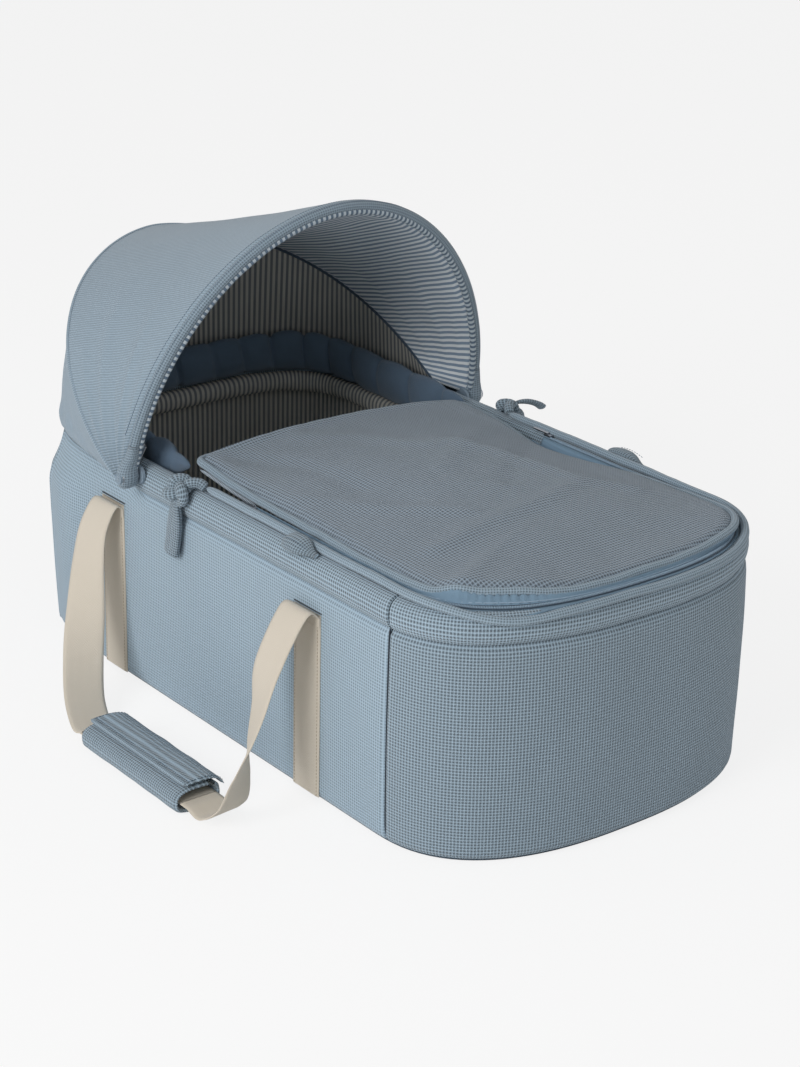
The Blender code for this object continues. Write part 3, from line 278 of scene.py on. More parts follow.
def ribbon(name, path, width_dir, half, thick, material, across=9):
    """A flat strip with rounded edges along path."""
    t = unit(np.gradient(path, axis=0))
    w = np.asarray(width_dir, float)
    w = unit(w - t * (w * t).sum(-1, keepdims=True))
    n = np.cross(t, w)
    xs = np.linspace(-1, 1, across)
    zs = 0.35 + 0.65 * sat((1 - np.abs(xs)) * across / 2)
    xs, zs = half * cat([xs, xs[::-1]])[:, None], thick / 2 * cat([zs, -zs[::-1]])[:, None]
    v = half * cat([np.linspace(-1, 1, across), np.linspace(1, 3, across), [3]])
    pts = path[:, None] + xs * w[:, None] + zs * n[:, None]
    return grid(name, pts, join(way(path)[:, None], v), material, close_v=True, cap_v=True)


def beads(name, rings, material):
    """Short closed tubes; rings[m, k] is ring k of tube m."""
    count, steps, sides = rings.shape[:3]
    one = [(k + q, k + (q + 1) % sides, k + sides + (q + 1) % sides, k + sides + q)
           for k in range(0, (steps - 1) * sides, sides) for q in range(sides)]
    one += [tuple(range(sides - 1, -1, -1)), tuple(range((steps - 1) * sides, steps * sides))]
    faces = [[base + k for k in face] for base in range(0, count * steps * sides, steps * sides) for face in one]
    return add_mesh(name, rings.reshape(-1, 3).tolist(), faces, material)


def stitches(name, path, normal, material, pitch=0.0036, lift=0.0001, length=0.0024, radius=0.00032):
    """A row of short thread stitches lying on a surface along path."""
    s = way(path)
    share, fat = np.array([-0.5, -0.25, 0.25, 0.5]), np.array([0.35, 1.0, 1.0, 0.35])
    at = (np.arange(int(s[-1] / pitch)) + 0.5)[:, None] * pitch + share * length
    p = follow(at, s, path)
    n = unit(follow(at, s, np.broadcast_to(np.asarray(normal, float), path.shape)))
    b = np.cross(unit(p[:, -1:] - p[:, :1]), n)
    c = p + n * (lift + radius * 0.3 * (1 - 4 * share * share))[:, None]
    q = circle(6)[:, None]
    rings = c[:, :, None] + (radius * fat)[:, None, None] * (b[:, :, None] * np.cos(q) + n[:, :, None] * np.sin(q))
    return beads(name, rings, material)


# ---- materials ----
class Shader:
    """A Principled material and the few nodes that its cloth, metal or plastic needs."""

    def __init__(self, name, color, rough=0.9, metal=0.0, sheen=0.0):
        self.m = bpy.data.materials.new(name)
        self.m.use_nodes = True
        self.m.diffuse_color = (*color, 1)
        self.t = self.m.node_tree
        self.b = self.t.nodes["Principled BSDF"]
        for key, value in (("Base Color", (*color, 1)), ("Roughness", rough), ("Metallic", metal), ("Sheen Weight", sheen),
                           ("Sheen Roughness", 0.5), ("Specular IOR Level", 0.5 if metal else 0.25)):
            self.b.inputs[key].default_value = value

    def node(self, kind, **props):
        n = self.t.nodes.new(kind)
        for key, value in props.items():
            setattr(n, key, value)
        return n

    def put(self, socket, value):
        if isinstance(value, (int, float)):
            socket.default_value = value
        elif isinstance(value, tuple):
            socket.default_value = (*value, 1)
        else:
            self.t.links.new(value, socket)

    def math(self, op, a, b=0.0):
        n = self.node("ShaderNodeMath", operation=op)
        self.put(n.inputs[0], a)
        self.put(n.inputs[1], b)
        return n.outputs[0]

    def mul(self, a, b):
        return self.math("MULTIPLY", a, b)

    def add(self, a, b):
        return self.math("ADD", a, b)

    def uv(self):
        s = self.node("ShaderNodeSeparateXYZ")
        self.put(s.inputs[0], self.node("ShaderNodeUVMap", uv_map="UVMap").outputs[0])
        return s.outputs[0], s.outputs[1]

    def wave(self, x, pitch):
        """|sin| of x over pitch: 0 on the lines, 1 between them."""
        return self.math("ABSOLUTE", self.math("SINE", self.mul(x, PI / pitch)))

    def noise(self, scale, detail=2.0):
        n = self.node("ShaderNodeTexNoise")
        self.put(n.inputs["Scale"], scale)
        self.put(n.inputs["Detail"], detail)
        self.put(n.inputs["Vector"], self.node("ShaderNodeTexCoord").outputs["Object"])
        return n.outputs[0]

    def blend(self, fac, a, b):
        n = self.node("ShaderNodeMix", data_type="RGBA")
        for k, value in ((0, fac), (6, a), (7, b)):
            self.put(n.inputs[k], value)
        return n.outputs[2]

    def finish(self, color, height, distance, strength):
        """Colour and bump go to the shader; gives the material."""
        self.put(self.b.inputs["Base Color"], color)
        n = self.node("ShaderNodeBump")
        for key, value in (("Distance", distance), ("Strength", strength), ("Height", height)):
            self.put(n.inputs[key], value)
        self.put(self.b.inputs["Normal"], n.outputs[0])
        return self.m


def tone(c, k):
    return tuple(min(1.0, x * k) for x in c)


def srgb(r, g, b):
    return tuple(((x / 255 + 0.055) / 1.055) ** 2.4 if x / 255 > 0.04045 else x / 255 / 12.92 for x in (r, g, b))


def waffle(name, color, cell=0.0030, pit_shade=0.42, depth=0.0007, rows=1.0):
    """Waffle knit: raised lines round small pits, with soft unevenness of dye and a little fuzz. The pits are painted
    darker than the lines, as painted shade in the hollows.
    """
    m = Shader(name, color, 0.95, sheen=0.25)
    u, v = m.uv()
    su, sv = m.wave(u, cell), m.wave(v, cell)
    if rows < 1:
        sv = m.add(m.mul(sv, rows), 1 - rows)
    pit, cloud, fuzz = m.mul(su, sv), m.noise(7.0, 3.0), m.noise(900.0, 2.0)
    gain = 1 / (1 - (0.365 if rows == 1 else 0.46) * pit_shade)      # keeps the cloth's mean colour
    light = m.blend(cloud, tone(color, 0.94 * gain), tone(color, 1.06 * gain))
    # the pits are painted darker than the raised lines: painted shade in the cells
    paint = m.blend(m.mul(pit, m.add(m.mul(fuzz, 0.5), 0.65)), light, tone(color, gain * (1 - pit_shade)))
    return m.finish(paint, m.add(m.mul(m.math("SUBTRACT", 1.0, pit), 0.8), m.mul(fuzz, 0.2)), depth, 0.9)


def stripes(name, dark, light, pitch):
    """Woven stripes with soft edges and a fine weave."""
    m = Shader(name, light, 0.9, sheen=0.1)
    u, v = m.uv()
    band = m.node("ShaderNodeClamp")
    edge = m.mul(m.math("SUBTRACT", m.wave(u, pitch), math.sin(PI / 4)), 7.0)
    m.put(band.inputs[0], m.add(edge, 0.5))
    pale = m.blend(m.noise(9.0, 2.0), tone(light, 0.92), tone(light, 1.06))
    weave = m.mul(m.wave(u, 0.0008), m.wave(v, 0.0008))
    return m.finish(m.blend(band.outputs[0], pale, dark), m.add(weave, m.mul(band.outputs[0], 0.6)), 0.00025, 0.6)


def twill(name, color, pitch=0.0016):
    """Herringbone cotton webbing."""
    m = Shader(name, color, 0.85, sheen=0.2)
    u, v = m.uv()
    fold = m.math("ABSOLUTE", m.math("SUBTRACT", m.math("FRACT", m.math("DIVIDE", v, 0.010)), 0.5))
    lines = m.wave(m.add(u, m.mul(fold, 0.010)), pitch)
    h = m.add(m.mul(lines, 0.7), m.mul(m.wave(v, 0.0011), 0.3))
    pale = m.blend(m.noise(14.0, 3.0), tone(color, 1.02), tone(color, 1.12))
    return m.finish(m.blend(m.mul(h, 0.70), pale, tone(color, 0.76)), h, 0.0004, 0.8)


def plain(name, color, rough=0.9, sheen=0.2, grain=0.25, crease=1.2):
    """Smooth plain-weave cloth with faint creases, both heights in millimetres."""
    m = Shader(name, color, rough, sheen=sheen)
    u, v = m.uv()
    weave, cloud = m.mul(m.wave(u, 0.0007), m.wave(v, 0.0007)), m.noise(22.0, 4.0)
    paint = m.blend(cloud, tone(color, 0.88), tone(color, 1.12))
    return m.finish(paint, m.add(m.mul(weave, grain), m.mul(cloud, crease)), 0.001, 0.7)


def hard(name, color, rough=0.5, scale=320.0, metal=0.0):
    """Plastic, fibre board, thread or metal with a fine speckle."""
    m = Shader(name, color, rough, metal)
    n = m.noise(scale, 3.0)
    return m.finish(m.blend(n, tone(color, 0.85), tone(color, 1.1 if metal else 1.2)), n, 0.0001 if metal else 0.0002, 0.4)


BLUE, SKY = srgb(153, 172, 186), srgb(151, 169, 183)
# the side panels and the foot end are one cloth: the foot end's copy is painted darker, with darker pits, as painted
# shade, and the sides' a little lighter, as painted light
M_SIDE = waffle("side_knit", tone(BLUE, 1.03), pit_shade=0.60)
M_FOOT_SHADED = waffle("foot_knit_painted_shade", tone(BLUE, 0.87), pit_shade=0.84, depth=0.0014)
M_RIM = waffle("rim_knit", tone(BLUE, 0.93), pit_shade=0.88, depth=0.0013)
M_COVER = waffle("cover_knit", srgb(134, 148, 161), 0.0033, 0.85, 0.0013)
M_PIPE = waffle("piping_knit", tone(BLUE, 0.86), 0.0025, 0.70)
M_HOOD = waffle("hood_knit", tone(SKY, 0.98), pit_shade=0.46, rows=0.45)
M_HEM = waffle("hem_knit", tone(SKY, 0.78), 0.0026, 0.62)
M_TIE = waffle("tie_knit", tone(BLUE, 0.74), 0.0027, 0.88, 0.0013)
M_STRIPE = stripes("lining_stripes", srgb(138, 158, 178), srgb(236, 241, 244), 0.0075)
M_WALL_STRIPE = stripes("wall_stripes", srgb(128, 132, 134), srgb(204, 202, 194), 0.0065)
M_EDGE = stripes("edge_stripes", srgb(100, 118, 136), srgb(196, 207, 214), 0.0060)
# the bumper's blue is painted darker than the lit cloth: partly its own colour, partly painted shade from the hood
# above it
M_BUMPER_SHADED = plain("bumper_cloth", srgb(92, 112, 132))
M_SEAM = plain("seam_cloth", srgb(72, 88, 104))
M_SLIT = plain("slit_shade_cloth", srgb(38, 46, 56))
M_UNDER = waffle("underside_cloth", srgb(70, 84, 98), 0.0020, 0.5)
M_WEB = twill("cream_webbing", srgb(226, 216, 200))
M_TAPE = plain("zip_tape_cloth", srgb(132, 160, 182), 0.75, 0.1, 0.4, 0.0)
M_TEETH = stripes("open_teeth", srgb(104, 122, 140), srgb(206, 214, 220), 0.0022)
M_COIL = hard("zip_coil_nylon", srgb(150, 172, 190), 0.45)
M_THREAD = hard("blue_thread", srgb(92, 110, 128), 0.8, 900.0)
M_CREAM_THREAD = hard("cream_thread", srgb(186, 172, 152), 0.8, 900.0)
M_METAL = hard("zip_metal", (0.36, 0.38, 0.42), 0.35, 260.0, 1.0)
M_STEEL = hard("bow_steel", (0.50, 0.51, 0.53), 0.35, 260.0, 1.0)
M_PLASTIC = hard("pivot_plastic", srgb(132, 148, 162), 0.60)
M_BOARD = hard("base_board_fibre", srgb(150, 120, 88), 0.85, 90.0)
M_QUILT = plain("mattress_cloth", srgb(226, 224, 218), 0.9, 0.2, 0.3, 2.0)
M_TOUCH = hard("touch_tape_loops", srgb(96, 116, 136), 0.95, 1400.0)


def dress(material, *nodes):
    for node in nodes:
        slots = CAD[node].data.materials
        slots.clear()
        slots.append(material)


def piece(obj, *nodes, body="basket", slot="waffle_knit"):
    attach(obj, body)
    if nodes:
        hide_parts(*nodes)
    return obj


# ---- walls ----
WEB_SPOTS = (FOOT_STRAP_Y, HEAD_STRAP_Y)
WALL_LOW = 0.0036
BOARD_IN, BOARD_TURN = 0.043, 0.030       # the padding board's edge from the seam, and its corner's radius
# how far the head end's cloth stands out, by height
LEAN = np.array(((0.0, 0.004), (0.020, 0.005), (0.071, 0.0070), (0.105, 0.0085), (0.139, 0.0100), (0.168, 0.0105),
                 (0.178, 0.0093), (0.186, 0.0055), (0.194, 0.0018), (0.202, -0.0012), (0.210, -0.0036), (0.222, -0.0062)))


def off_web(y, at):
    """0 beside the webbing sewn on at a place, 1 away from it."""
    return 1 - smooth((0.036 - np.abs(y - at)) / 0.012)


def outer_panel(name, span, material):
    """A wall's cloth. Round the head it swells and then leans in to the hood's seam; elsewhere it tucks under the roll."""
    s = along(span)
    radius, q = 0.0085, np.linspace(0, PI / 2, 7)
    low_z = WALL_LOW + radius - radius * np.cos(q)
    prof_in = cat([[0.016], radius - radius * np.sin(q), np.zeros(39), [0.003]])
    prof_z, tall_z = (cat([[WALL_LOW], low_z, np.linspace(low_z[-1], top, 40)[1:], [top + 0.0015]])
                      for top in (SEAM_Z + 0.0015, 0.2165))
    S, I = cross(s, np.arange(len(prof_in)))
    head, swell = head_share(S), head_share(S, 0.206, 0.075)
    Z = mix(prof_z[I], tall_z[I], head)
    tuck = sat((Z - (SEAM_Z - 0.006)) / 0.008) ** 2 * 0.0045
    out_full = np.interp(Z, LEAN[:, 0], LEAN[:, 1]) * (I > 6)
    inward = np.minimum(out_full, 0) - 0.0006 * smooth((Z - 0.186) / 0.02)
    shoulder = mix(inward, out_full, swell)
    inset = prof_in[I] + seam_turn(S, span, 0.0020) + mix(tuck, -shoulder, head) * (I > 6)
    base = place(S, inset, Z)
    flat = 1.0
    if "side" in name:
        for at in WEB_SPOTS:
            flat = flat * off_web(base[..., 1], at)
    puff = 0.0018 * np.sin(PI * sat(Z / SEAM_Z)) * (1 - 0.7 * head) + 0.0008 * wobble(base, 11, 3.1)
    puff = (puff + 0.0005 * wobble(base * [1, 1, 0.35], 45, 8)) * flat
    if "side" in name:
        # a ridge along the foot seam, and the padding board's edge showing through
        d = span[1] - S if name == "left_side" else S - span[0]
        ridge = 0.0016 * smooth((0.009 - d) / 0.004) - 0.0010 * bell(d - 0.0092, 0.0011)
        high, turn = SEAM_Z - 0.030 - Z, BOARD_IN + BOARD_TURN
        board = np.where((high <= BOARD_TURN) & (d <= turn), BOARD_TURN - np.hypot(turn - d, BOARD_TURN - high),
                         np.minimum(d - BOARD_IN, high))
        groove = bell(board, 0.0011) + 0.35 * bell(board - 0.004, 0.0020)
        puff = puff + ridge - 0.00075 * groove * smooth((0.30 - d) / 0.16) * flat * (Z > 0.012)
    else:
        inset = inset + 0.0020 * (1 - smooth(to_end(S, span) / 0.006)) * (I > 5) * (1 - head)
    inset = inset - puff * sat(to_end(S, span) / 0.004) * (I > 5) * (prof_in[I] < 0.002)
    rise = way(np.column_stack([prof_in, prof_z]))
    return grid(name, place(S, inset, Z), join(s[:, None], rise), material, thick=0.002, flip=True)


for key in WALLS:
    piece(outer_panel(key + "_panel_cloth", SPANS[key], M_SIDE if "side" in key else M_FOOT_SHADED), key + "_panel")

for side, sign in SIDES:
    seam = SPANS["left_side"][1] if side == "left" else SPANS["right_side"][0]
    outwards = (sign, 0.0, 0.0)
    z = np.linspace(0.010, SEAM_Z + 0.004, 60)
    over_seam = place(seam + 0.01, 0, 0) - place(seam - 0.01, 0, 0)
    # a very dark strip and cord fill the slit between the panels: painted shade
    piece(ribbon(f"{side}_seam_shade_strip", place(seam, 0.0036, z), over_seam, 0.0036, 0.0008, M_SLIT, across=5))
    line = place(seam, 0.0008 - 0.0010 * np.sin(PI * z / SEAM_Z), z)
    piece(rope(f"{side}_seam_shade_cord", line, 0.0014, M_SLIT, up=(0, 1, 0), sides=8))
    z = np.linspace(0.014, SEAM_Z - 0.012, 60)
    line = place(seam + sign * 0.0092, -0.0006 - 0.0018 * np.sin(PI * z / SEAM_Z), z)
    piece(stitches(f"{side}_seam_topstitch", line, outwards, M_THREAD))
    # round the padding board, left out under the webbing
    turn = np.linspace(0, PI / 2, 24)
    d = cat([np.full(40, 0.045), 0.075 - 0.030 * np.cos(turn), np.linspace(0.075, 0.230, 50)])
    z = SEAM_Z - 0.062 + cat([np.linspace(0.076 - SEAM_Z, 0, 40), 0.030 * np.sin(turn), np.full(50, 0.030)])
    y = y_at(seam + sign * d)
    keep = np.abs(y - FOOT_STRAP_Y) > 0.022
    for m, part in enumerate(np.split(np.arange(len(d)), np.flatnonzero(np.diff(keep.astype(int))) + 1)):
        if keep[part[0]] and len(part) > 6:
            out = 0.0001 + 0.0016 * np.sin(PI * z[part] / SEAM_Z) * off_web(y[part], FOOT_STRAP_Y)
            line = place(seam + sign * d[part], -out, z[part])
            piece(stitches(f"{side}_board_topstitch_{m + 1}", line, outwards, M_THREAD))


# ---- rim rolls ----
def roll(name, span, inset, middle, hw, hh, material, slit=SLIT, sides=28, seed=1.0, rough=0.0007, pinch=0.3):
    """A stuffed roll along a span; inset, middle and half width are functions of the way."""
    s = along(span, 0.006, slit)
    S, T = cross(s, circle(sides))
    inset, middle, hw = inset(S), middle(S), hw(S)
    narrow = 1 - pinch * (seam_turn(S, span, 0.003, slit) / 0.003) ** 1.2
    cx, cz = signed(np.cos(T), 2 / 2.3), signed(np.sin(T), 2 / 2.3)
    base = place(S, inset + hw * cx * narrow, middle + hh * cz * narrow)
    n = rough * wobble(base, 22, seed) + 0.5 * rough * wobble(base, 70, seed + 5)
    pts = place(S, inset + (hw * narrow - n) * cx, middle + (hh * narrow - n) * cz)
    girth = 2 * PI * math.sqrt((float(np.mean(hw)) ** 2 + hh ** 2) / 2)
    return grid(name, pts, join(s[:, None], np.linspace(0, girth, sides + 1)), material, close_v=True, cap_v=True)


def rim_inset(S):
    return mix(RIM_IN, 0.0165, head_share(S, 0.150, 0.080))


def rim_half(S):
    return mix(RIM_HW + 0.0004, 0.0085, head_share(S, 0.150, 0.080))


for n, key in enumerate(WALLS):
    made = roll(key + "_rim_cloth", SPANS[key], rim_inset, lambda S: RIM_Z, rim_half, RIM_HH + 0.0004, M_RIM, slit=0.0007,
                seed=n * 3.0, pinch=0.12 if "side" in key else 0.34)
    piece(made, key + "_rim_roll")

# ---- inner walls ----
for key in WALLS:
    s, z = along(SPANS[key], 0.008, 0.0006), np.linspace(0.0090, 0.2115, 25)
    S, Z = cross(s, z)
    base = place(S, 0.0190, Z)
    inset = 0.0200 + 0.0012 * wobble(base * [1, 1, 0.3], 30, 4.0) + 0.0008 * wobble(base, 12, 9)
    made = grid(key + "_liner_cloth", place(S, inset, Z), join(s[:, None], z), M_WALL_STRIPE, thick=0.003)
    piece(made, key + "_liner", slot="striped_lining")


def bumper_low(S):
    """The height of the bumper's underside, highest in the middle of the head end."""
    share = smooth((HEAD_ARC / 2 - np.abs(S - (S_RH + TOTAL) / 2)) / (HEAD_ARC / 2 * 0.8))
    return SEAM_Z + 0.0055 + 0.0105 * share


def build_bumper():
    """The gathered roll round the head end, with puckers drawn in at uneven spaces."""
    span, tip, hw, hh = round_head(0.088), 0.011, 0.0122, 0.0222
    s = np.linspace(*span, 400)
    tips = tip * (1 - np.cos(np.linspace(0, PI / 2, 9)))[:-1]
    s = cat([span[0] + tips, s[(s > span[0] + tip) & (s < span[1] - tip)], span[1] - tips[::-1]])
    rng = np.random.default_rng(7)
    spots, at = [], span[0] + 0.028
    while at < span[1] - 0.02:
        spots.append((at, 0.6 + 0.6 * rng.random(), rng.uniform(-0.5, 0.9)))
        at += rng.uniform(0.040, 0.054)
    S, T = cross(s, circle(36))
    ends = sat(to_end(S, span) / 0.058)
    swell = mix(0.20, 1.0, smooth(ends ** 0.85)) * np.sqrt(1 - (1 - np.clip(to_end(S, span) / tip, 0.02, 1)) ** 2)
    dip = np.zeros_like(S)
    for at, depth, lean in spots:
        d = S - at - 0.004 * np.sin(T + lean)
        dip += depth * (0.55 + 0.45 * np.cos(T - lean)) * (0.0042 * bell(d, 0.0032) + 0.0034 * bell(d, 0.012))
    mid = bumper_low(S) + 0.009 * (1 - smooth(ends)) + 0.003 * head_share(S, 0.22, 0.14) + hh
    base = place(S, 0.034, mid + hh * np.sin(T))
    bump = 0.0012 * wobble(base, 28, 6.0) + 0.0006 * wobble(base, 80, 2.0)
    inset = mix(0.0285, 0.0338, smooth(ends)) + (hw * swell - dip + bump) * np.cos(T)
    pts = place(S, inset, mid + (hh * swell - dip + bump) * np.sin(T))
    made = grid("head_bumper_cloth", pts, join(s[:, None], np.linspace(0, 0.098, 37)), M_BUMPER_SHADED, close_v=True, cap_v=True)
    piece(made, "head_bumper", slot="bumper_cloth")


build_bumper()
liner_roll = roll("liner_roll_cloth", round_head(0.098), lambda S: 0.0312, lambda S: bumper_low(S) - 0.0112,
                  lambda S: 0.0096, 0.0108, M_WALL_STRIPE, sides=20, seed=12.0, rough=0.0012, pinch=0.97)
piece(liner_roll, "liner_roll", slot="striped_lining")


# ---- mattress, underside ----
def polar_pad(name, inset, low, high, crown, material, rings=18, edge=0.008, dimple=0.0):
    """A flat crowned pad inside the outline, rounded at its edge."""
    outline = place(np.linspace(0, TOTAL, 200, endpoint=False), inset, 0.0)[:, :2]
    middle = join(0.0, np.clip(outline[:, 1], FOOT0 + 0.02, HEAD0))
    q = np.linspace(-PI / 2, PI / 2, 9)
    k = cat([[0.0, 0.45, 0.85], 1 - edge / HALF * (1 - np.cos(q)), np.linspace(0.90, 0.0, rings)])[:, None]
    z = cat([np.full(3, low), (low + high) / 2 + (high - low) / 2 * np.sin(q), np.full(rings, high)])[:, None]
    top = z >= high - 1e-9
    xy = middle + (outline - middle) * k[..., None]
    pts = join(xy[..., 0], xy[..., 1], z + crown * (1 - k ** 3) * top)
    pts[..., 2] += dimple * wobble(pts, 18) * (1 - k ** 6) * top
    return grid(name, pts, cat([pts[..., :2], pts[:, :1, :2]], 1), material, close_v=True)


pad = polar_pad("mattress_pad", 0.0232, 0.0080, 0.0330, 0.0095, M_QUILT, dimple=0.0016)
piece(pad, "mattress", slot="mattress_cover")
under = polar_pad("underside_cloth_piece", 0.0045, 0.0, 0.0032, 0.0, M_UNDER, rings=4, edge=0.002)
piece(under, "underside_panel", slot="underside_cloth")


# ---- pipings and zip ----
def foot_share(S):
    """0 along the sides, 1 in the middle of the foot end."""
    reach = FOOT_ARC / 2
    return smooth((reach - np.abs(S - (S_LF + S_RF) / 2)) / (reach * 0.6))


def gap(S):
    """How far the zip shows: widest at the foot's left corner, less at its right."""
    u = (S - S_LF) / FOOT_ARC
    return bell(u - 0.235, 0.10) + 0.18 * bell(u - 0.60, 0.12)


def far_pull(y):
    """The apron's far edge is pulled in from the rim near the slider."""
    return bell(y + 0.075, 0.080)


def piping_spot(S, foot_tilt=-28.0, sag=0.0):
    """Inset and height of a piping that lies on the rim roll, tilted outwards at the foot."""
    tilt = np.radians(mix(6.0, foot_tilt, foot_share(S)) + sag)
    return RIM_IN + (RIM_HW + 0.0046) * np.sin(tilt), RIM_Z + (RIM_HH + 0.0046) * np.cos(tilt)


def rim_top(inset):
    """The height of the rim roll's surface at an inset."""
    x = np.clip(np.abs(inset - RIM_IN) / (RIM_HW + 0.0004), 0, 0.999)
    return RIM_Z + (RIM_HH + 0.0004) * (1 - x ** 2.3) ** (1 / 2.3)


def lanes(S):
    """The zip's lines side by side over the rim: their insets and heights, and the upper tape's width and rise."""
    share = gap(S)
    u = (S - S_LF) / FOOT_ARC
    far = far_pull(FOOT0 + S - S_RF) * smooth((S - S_RF + 0.02) / 0.04)
    tape = piping_spot(S)[0] + 0.0043
    coil = tape + 0.0021
    upper = coil + 0.0031
    level = np.maximum(rim_top(tape), np.maximum(rim_top(coil), rim_top(coil + 0.0028))) + 0.0006
    over = bell(u - 0.80, 0.10)
    width = mix(0.0010, 0.0080, share) + 0.020 * far - 0.0075 * over
    rise = (mix(0.0048, 0.0090, share) + 0.0055 * bell(u - 0.15, 0.035) - 0.0050 * far + 0.0040 * over
            + 0.0065 * bell(S - s_left(APRON_HEAD_Y), 0.055))
    return {"tape": tape, "coil": coil, "upper": upper, "level": level, "width": width, "rise": rise, "far": far,
            "piping": (upper + width + 0.0043, level + rise + 0.0004)}


S = run(s_left(0.034), s_right(0.034), 0.0035)
pin, pz = piping_spot(S, -42.0, -19.0 * gap(S))
base = place(S, pin, pz)
n1, n2 = wobble(base, 30, 21), wobble(base, 30, 33)
low_path = place(S, pin + 0.0007 * n1, pz + 0.0006 * n2)
low_piping = rope("lower_piping_cloth", low_path, PIPE_RADIUS * (1 + 0.05 * wobble(base, 90, 2)), M_PIPE)
piece(low_piping, "lower_piping")

S = run(s_left(ZIP_START_Y), s_right(ZIP_START_Y), 0.003)
L = lanes(S)
LOW_IN = mix(L["tape"] - 0.001, piping_spot(S, -42.0, -19.0 * gap(S))[0] + 0.0042, gap(S))
LOW_Z = np.minimum(rim_top(LOW_IN) + 0.0008, L["level"] - 0.0003)


def zip_tape(name, body, a, b, low, high, ruffled):
    """A tape from inset a at height low to inset b at height high; ruffled is 1 for the upper one, 0 for the lower."""
    s, t = S[:, None], np.linspace(0, 1, 7)
    inset, z = mix(a[:, None], b[:, None], t), mix(low[:, None], high[:, None], t ** 1.2)
    base = place(s, inset, z)
    ruffle = ruffled * 0.0015 * np.sin(s * 2 * PI / 0.0085 + 1.5 * wobble(base, 20, 8)) * t ** 0.7 * gap(s)
    z = z + (0.0003 * wobble(base, 60, 3) - ruffled * 0.016 * L["far"][:, None]) * np.sin(PI * t) + ruffle
    made = grid(name + "_cloth", place(s, inset - 0.6 * ruffle, z), join(s, t * 0.010), M_TAPE, thick=0.0007)
    piece(made, name, body=body, slot="zip_tape")


zip_tape("lower_zip_tape", "basket", LOW_IN, L["tape"] + 0.0021, LOW_Z, L["level"], 0)
zip_tape("upper_zip_tape", "apron", L["upper"] - 0.0004, L["upper"] + L["width"], L["level"] + 0.0002,
         L["level"] + L["rise"], 1)

for m, (off, up, share) in enumerate(((-0.0014, 0.0003, 0.0), (0.0044, 0.0010, 1.0), (0.0062, 0.0030, 1.0))):
    z = L["level"] + up * mix(0.5, 1.0, gap(S)) + 0.0004 - 0.010 * L["far"] * share
    line = place(S, L["coil"] + off * mix(0.6, 1.0, gap(S)), z)
    made = rope(f"zip_line_{m + 1}", line, 0.00065, M_COIL if m == 2 else M_SEAM, sides=8)
    piece(made, body="basket" if m == 0 else "apron", slot="zip_tape")


def tooth_row():
    """The zip's coil: one nylon loop lying across the closing line every 1.5 mm."""
    s = run(s_left(ZIP_START_Y), s_right(ZIP_START_Y), 0.0015)[:, None]
    L = lanes(s)
    t, q = np.linspace(0, 1, 5), circle(6)[:, None]
    p = place(s + 0.0005 * (t - 0.5), L["coil"] - 0.0002 + 0.0032 * t, L["level"] + 0.0010 + 0.0010 * np.sin(PI * t))
    d = unit(place(s + 0.001, 0.0, 0.0) - place(s, 0.0, 0.0))
    rings = p[:, :, None] + 0.00054 * (d[:, :, None] * np.cos(q) + np.array([0, 0, 1.0]) * np.sin(q))
    piece(beads("zip_coil_teeth", rings, M_COIL), "zip_coil", slot="zip_tape")


tooth_row()


# ---- apron ----
def taper(y):
    return 0.008 * smooth((y - FOOT0) / (APRON_HEAD_Y - FOOT0))


def apron_ring(outset, count=520):
    """The closed line of the apron's piping: sides and foot, then the head edge with rounded corners."""
    S = np.linspace(s_left(APRON_HEAD_Y), s_right(APRON_HEAD_Y), 400)
    L = lanes(S)
    path = place(S, L["piping"][0] + taper(y_at(S)) - outset, L["piping"][1])
    path[[0, -1]] += [0, outset, 0]
    a, b = path[-1], path[0]
    loop = cat([path, a + (b - a) * np.linspace(0, 1, 90)[1:-1, None] + [0, outset, 0]])
    for _ in range(8):          # rounds the two corners
        around = (np.roll(loop, 1, 0) + np.roll(loop, -1, 0)) / 2
        near = np.minimum(np.linalg.norm(loop - a, axis=1), np.linalg.norm(loop - b, axis=1))
        loop = mix(loop, around, sat(1 - near / 0.02)[:, None])
    full = cat([loop, loop[:1]])
    s = way(full)
    return follow(np.linspace(0, s[-1], count, endpoint=False), s, full)


def crown(x, y):
    """How high the apron swells over its ring."""
    half = HALF - 0.0266 - 0.020 * far_pull(y) * (x > 0)
    across = 1 - sat(np.abs(x) / half) ** 2.2
    head = mix(1.0, 0.52, smooth((y - CROWN_Y) / 0.167))
    foot = 1 - sat((CROWN_Y - y) / (CROWN_Y + 0.3493)) ** 2.2
    return 0.026 * across * np.where(y > CROWN_Y, head, foot)


def ridge(x, y, points, width):
    """A soft line of cloth along points: 1 on it, dying away to each side."""
    near = np.full(x.shape, 9.0)
    for (ax, ay), (bx, by) in zip(points, points[1:]):
        dx, dy = bx - ax, by - ay
        t = sat(((x - ax) * dx + (y - ay) * dy) / (dx * dx + dy * dy))
        near = np.minimum(near, np.hypot(x - ax - t * dx, y - ay - t * dy))
    return bell(near, width)


# each fold's height, width and line
FOLDS = ((0.0034, 0.013, ((0.030, -0.045), (0.058, -0.109), (0.081, -0.188), (0.115, -0.228))),
         (0.0026, 0.011, ((-0.125, -0.235), (-0.040, -0.2245), (0.0175, -0.216), (0.070, -0.200))),
         (-0.0030, 0.012, ((-0.135, 0.060), (-0.105, -0.010), (-0.100, -0.090))),
         (0.0024, 0.014, ((-0.060, 0.060), (-0.020, 0.020), (0.010, -0.050))),
         (0.0024, 0.012, ((0.115, -0.015), (0.050, -0.060), (-0.020, -0.110))),
         (-0.0022, 0.010, ((0.120, -0.080), (0.080, -0.110), (0.020, -0.165))),
         (0.0020, 0.009, ((-0.150, -0.060), (-0.110, -0.140), (-0.060, -0.200))))
UP_RING = apron_ring(0.0)


